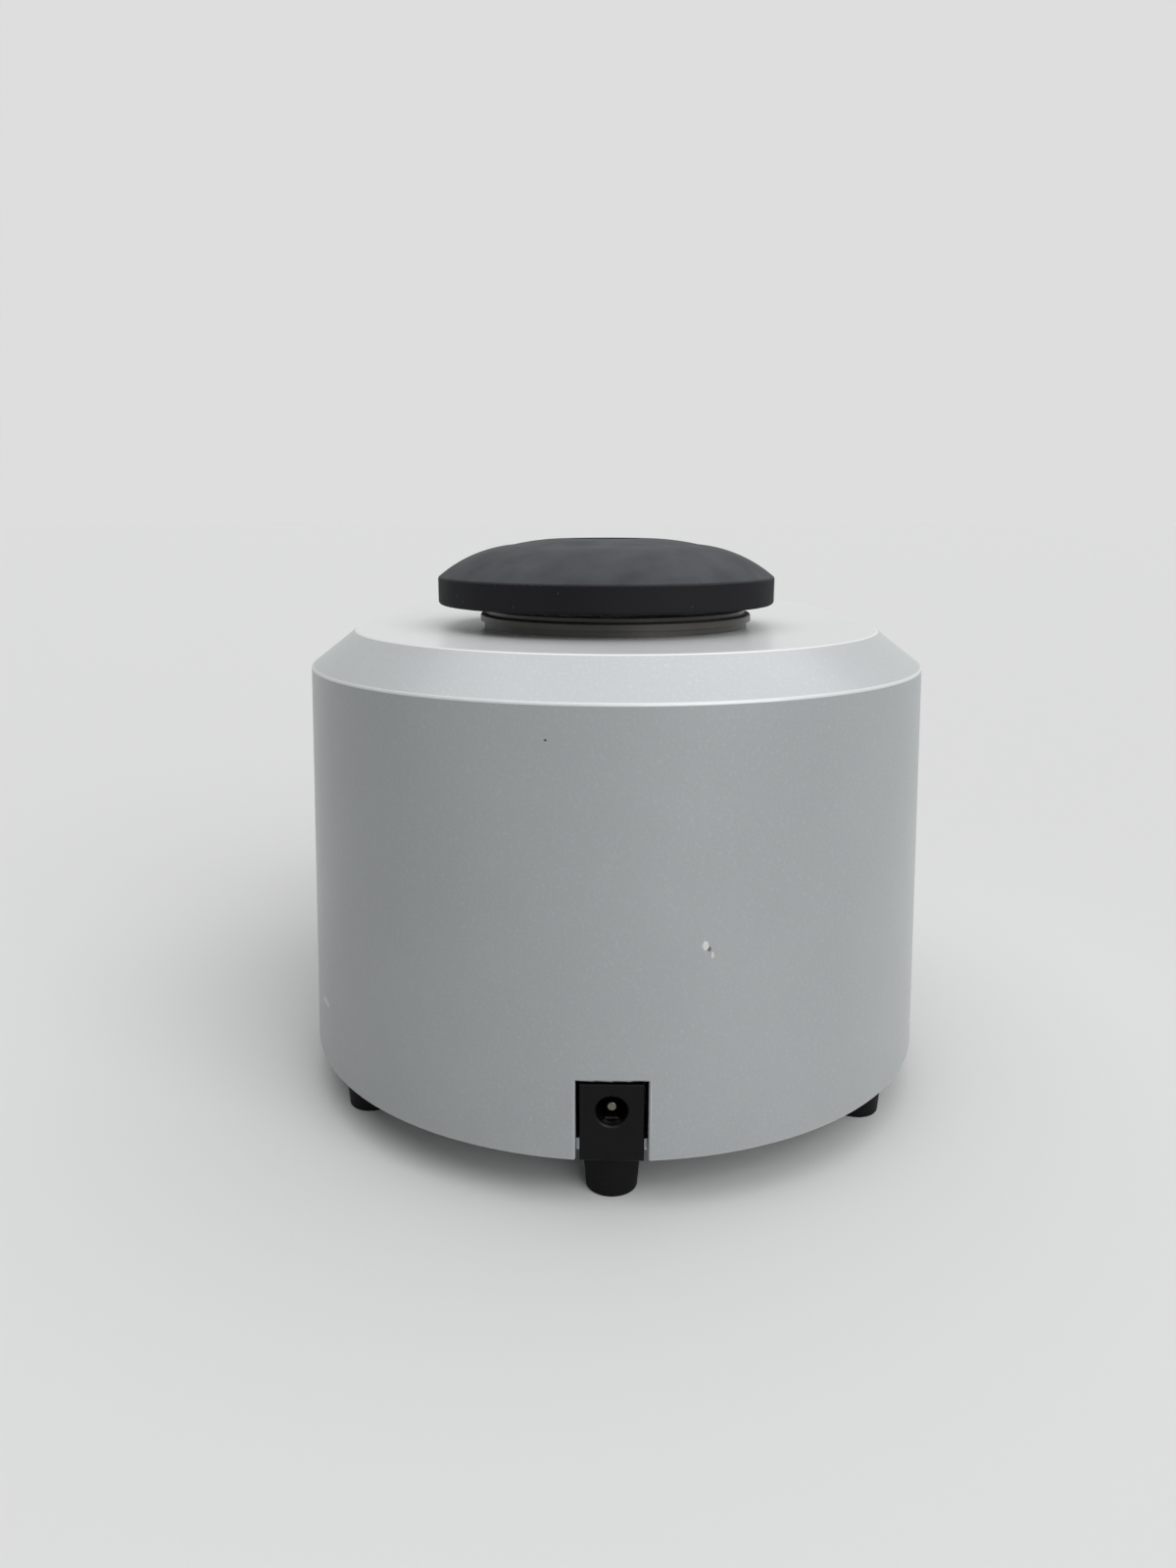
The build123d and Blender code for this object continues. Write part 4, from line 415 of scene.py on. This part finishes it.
# The marks beside the rocker: a bar for on, a ring for off and a chevron for on while pressed
mark_side = -0.0128
mark_rise = 0.0075
mark_reach = 0.0017
mark_stroke = 0.0006
half = mark_stroke / 2
signs = bmesh.new()
prism(signs, [
    (mark_side - half, mark_rise - mark_reach), (mark_side + half, mark_rise - mark_reach),
    (mark_side + half, mark_rise + mark_reach), (mark_side - half, mark_rise + mark_reach),
], ink_height)
prism(signs, [
    (mark_side - mark_reach, -mark_rise + mark_reach / 2), (mark_side, -mark_rise - mark_reach / 2),
    (mark_side + mark_reach, -mark_rise + mark_reach / 2),
    (mark_side + mark_reach, -mark_rise + mark_reach / 2 + mark_stroke),
    (mark_side, -mark_rise - mark_reach / 2 + mark_stroke),
    (mark_side - mark_reach, -mark_rise + mark_reach / 2 + mark_stroke),
], ink_height)
ring_sides = 32
rings = [
    [
        signs.verts.new((
            mark_side + radius * math.cos(2 * math.pi * side / ring_sides),
            radius * math.sin(2 * math.pi * side / ring_sides),
            rise,
        ))
        for side in range(ring_sides)
    ]
    for radius, rise in (
        (mark_reach, 0.0), (mark_reach, ink_height),
        (mark_reach - mark_stroke, ink_height), (mark_reach - mark_stroke, 0.0),
    )
]
for here, there in zip(rings, rings[1:] + rings[:1]):
    for side in range(ring_sides):
        beside = (side + 1) % ring_sides
        signs.faces.new((here[side], here[beside], there[beside], there[side]))
sign_mesh = finish_mesh("switch_marks", signs, screen_ink)
lay_on("front_panel", rocker_centre, sign_mesh)
switch_marks = new_piece("switch_marks", sign_mesh)
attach(switch_marks, "chassis")


# Speed control
# The knob is fluted black ABS, pushed on the shaft of a potentiometer that a nut holds in the panel.
# Its pointer is a white inlay pressed into the slot in its face.

# Black ABS: satin
knob_abs = moulded("satin_abs", "1f2023", "191a1c", 0.40)
dress(knob_abs, "speed_knob")
dress(nickel_plate, "speed_pot", "pot_nut")
# White ABS: slightly warm, smooth from a polished tool
inlay_abs = moulded("white_abs", "f0efe9", "e6e5df", 0.35)
pointer_turn = dial_sweep / 2
pointer_middle = 0.01254
pointer_length = 0.0104
pointer_width = 0.0014
pointer_depth = 0.0005
pointer_seat = 0.00055
cap_radius = pointer_width / 2
cap_steps = 8
outline = []
for end, start in ((1, 0.0), (-1, math.pi)):
    cap_middle = pointer_middle + end * (pointer_length / 2 - cap_radius)
    for step in range(cap_steps + 1):
        turn = start + math.pi * step / cap_steps
        outline.append((cap_radius * math.cos(turn), cap_middle + cap_radius * math.sin(turn)))
inlay = bmesh.new()
prism(inlay, outline, pointer_depth)
inlay_mesh = finish_mesh("knob_pointer", inlay, inlay_abs)
inlay_mesh.transform(Matrix.Rotation(pointer_turn, 4, "Z"))
lay_on("speed_knob", knob_centre, inlay_mesh, pointer_seat)
knob_pointer = new_piece("knob_pointer", inlay_mesh)
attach(knob_pointer, "knob")


# Mode switch and indicator
# The rocker is satin polyamide in a moulded frame that snaps into the panel, and tilts to either
# side of off. Above it a clear green lens covers the light on the board.
dress(black_polyamide, "switch_frame")
# Unfilled polyamide: smoother than the frame, with a soft sheen
rocker_polyamide = moulded("unfilled_polyamide", "202124", "1a1b1d", 0.32)
dress(rocker_polyamide, "mode_rocker")
# Acrylic: clear green, faintly cloudy, with a polished face
lens_acrylic, tree, shader, point = start_material(
    "green_acrylic", {"Roughness": 0.08, "Transmission Weight": 0.55, "IOR": 1.49}
)
tree.links.new(drift(tree, point, 0.003, "2fae5a", "249249"), shader.inputs["Base Color"])
dress(lens_acrylic, "status_lens", "status_light")


# Circuit board and what is soldered to it
# A glass laminate board under green solder mask, screwed to the pillars behind the panel, with the
# motor's driver under its heat sink, two capacitors and two connectors.

# Solder mask: green lacquer, glossy over the weave of the glass
solder_mask = moulded("solder_mask", "1d5c38", "174c2e", 0.30, 0.0008)
dress(solder_mask, "circuit_board")
# Vinyl sleeve: dark blue, shrunk tight, with a sheen
vinyl_sleeve = moulded("shrunk_vinyl", "15203a", "101a30", 0.28)
dress(vinyl_sleeve, "capacitors")
# Moulding epoxy: dull black with fine sparkle of its filler
moulding_epoxy = moulded("moulding_epoxy", "222224", "1b1b1d", 0.50, 0.0003, 0.000008)
dress(moulding_epoxy, "driver_chip")
# Natural nylon: ivory and slightly waxy
natural_nylon = moulded("natural_nylon", "e4e0d2", "d6d2c3", 0.45)
dress(natural_nylon, "connectors")
# Machined aluminium: pale, with fine cutter marks across the face
machined_aluminium = metal("machined_aluminium", "d4d6d8", "bfc2c4", 0.33, 0.0006, (1.0, 5.0, 1.0))
dress(machined_aluminium, "heat_sink")
dress(screw_steel, "board_screws")


# Motor on its sprung plate
# The motor's can and cap are drawn steel, zinc plated, and screwed under an aluminium plate. The
# plate slides on three ground posts, in bronze bushes, with a spring round each neck.
dress(machined_aluminium, "motor_plate")
dress(zinc_plate, "motor_can", "motor_cap")
dress(screw_steel, "motor_screws", "post_screws")
# Ground steel: bright, with fine rings left by the wheel
ground_steel = metal("ground_steel", "c6c7c8", "a3a4a6", 0.24, 0.0004, (1.0, 1.0, 6.0))
dress(ground_steel, "guide_posts", "motor_shaft", "motor_bearings", "pot_shaft")
# Spring wire: drawn, and blued a little by hardening
spring_wire = metal("hardened_spring_wire", "a7a8ad", "7c7e86", 0.30, 0.0004, (1.0, 1.0, 4.0))
dress(spring_wire, "return_springs")
# Sintered bronze: oiled, and brown in its pores
sintered_bronze = metal("sintered_bronze", "b08a4c", "7a5a2c", 0.46, 0.0003, height=0.00001)
dress(sintered_bronze, "plate_bushes")
# Ferrite and laminated iron: nearly black, with the layers showing as rings
laminated_iron = metal("laminated_iron", "4b4a49", "343332", 0.52, 0.0005, (1.0, 1.0, 8.0))
dress(laminated_iron, "motor_magnets", "armature")


# Crank, hub and rubber posts
# The crank and its weight are turned steel, held on the shaft by a grub screw. The crank's pin runs
# in the hub's ball bearing, and three rubber posts let the hub orbit but not turn.
dress(ground_steel, "crank", "counterweight", "bearing_inner", "bearing_outer", "bearing_balls")
dress(machined_aluminium, "orbit_hub", "head_disc")
dress(spring_wire, "retaining_ring")
dress(screw_steel, "grub_screw", "post_foot_screws", "post_head_screws", "disc_screws")
dress(foot_rubber, "flex_posts")


# Touch switch
# A small moulded switch on a bracket folded from plated sheet. The motor plate presses its spring
# lever, and the lever its plunger, when a tube is pushed into the head.
dress(zinc_plate, "switch_bracket")
dress(moulding_epoxy, "touch_switch", "switch_plunger")
dress(spring_wire, "switch_lever")
dress(screw_steel, "switch_screws", "bracket_screws")


# Collar
# The ring that finishes the hole in the roof is moulded, and snaps in with four barbs. Its lip
# stands over a narrower foot.

# Grey polyamide: warm and satin
collar_polyamide = moulded("grey_polyamide", "4d4a47", "43413e", 0.40)
dress(collar_polyamide, "top_collar")


# Rubber head
# A cup of soft black rubber, moulded in one piece and snapped over the edge of the metal disc. Dust and
# painted light from above lie on its dome, so the band round its edge, which faces sideways, stays darker.
head_rubber = rubber("soft_black_rubber", "1d1d21", "161619", "54575a", 0.85, 0.72, 0.18)
dress(head_rubber, "rubber_head")


# Camera
# It stands behind the mixer, a little above the roof, close enough to see the walls converge, and
# a degree off square.
camera_side = -0.0004
camera_distance = 0.275  # from the drive axis
camera_height = 0.1343
camera_dip = 13.2  # degrees below level
camera_turn = 1.45  # degrees off square
camera_data = bpy.data.cameras.new("camera")
camera = new_piece("camera", camera_data)
camera_data.sensor_fit = "VERTICAL"
camera_data.sensor_height = 24.0
camera_data.lens = 17.25
drive_axis = (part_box("motor_can")[0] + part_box("motor_can")[1]) / 2
camera.location = (camera_side, drive_axis.y + camera_distance, camera_height)
camera.rotation_euler = (math.radians(90 - camera_dip), 0.0, math.radians(180 + camera_turn))
bpy.context.scene.camera = camera


# Studio
# A pale floor that runs out of sight, a pale surround, a broad soft light from above and a softer
# one from the right of the camera.
def seen_directly(tree):
    """1 where the camera, a reflection or something clear shows the surface, and 0 for its light."""
    path = add(tree, "ShaderNodeLightPath").outputs
    seen = path["Is Camera Ray"]
    for ray in ("Is Glossy Ray", "Is Transmission Ray"):
        seen = add(tree, "ShaderNodeMath", links={0: seen, 1: path[ray]}, operation="MAXIMUM").outputs[0]
    return seen


floor_material, tree, shader, point = start_material(
    "matt_floor_paint", {"Roughness": 0.9, "Specular IOR Level": 0.1}
)
tree.links.new(lay_over(tree, "6c6c6c", "e3e4e3", seen_directly(tree)), shader.inputs["Base Color"])
floor_reach = 30.0
floor_mesh = bpy.data.meshes.new("floor")
corners = [(x * floor_reach, y * floor_reach, 0.0) for x, y in ((-1, -1), (1, -1), (1, 1), (-1, 1))]
floor_mesh.from_pydata(corners, [], [(0, 1, 2, 3)])
floor_mesh.materials.append(floor_material)
new_piece("floor", floor_mesh)

world = bpy.data.worlds.new("studio")
world.use_nodes = True
bpy.context.scene.world = world
surround = lay_over(world.node_tree, "626363", "dddedd", seen_directly(world.node_tree))
world.node_tree.links.new(surround, world.node_tree.nodes["Background"].inputs["Color"])


def soft_light(name, towards, spread, strength):
    """A distant lamp: the way to it from the mixer, its spread in degrees and its strength."""
    light = bpy.data.lights.new(name, "SUN")
    light.angle = math.radians(spread)
    light.energy = strength
    stand = new_piece(name, light)
    stand.rotation_euler = Vector(towards).to_track_quat("Z", "Y").to_euler()


soft_light("overhead", (-0.1, 0.0, 1.0), 90, 1.9)
soft_light("side", (-0.53, 0.68, 0.5), 50, 1.25)
bpy.context.scene.view_settings.view_transform = "Standard"
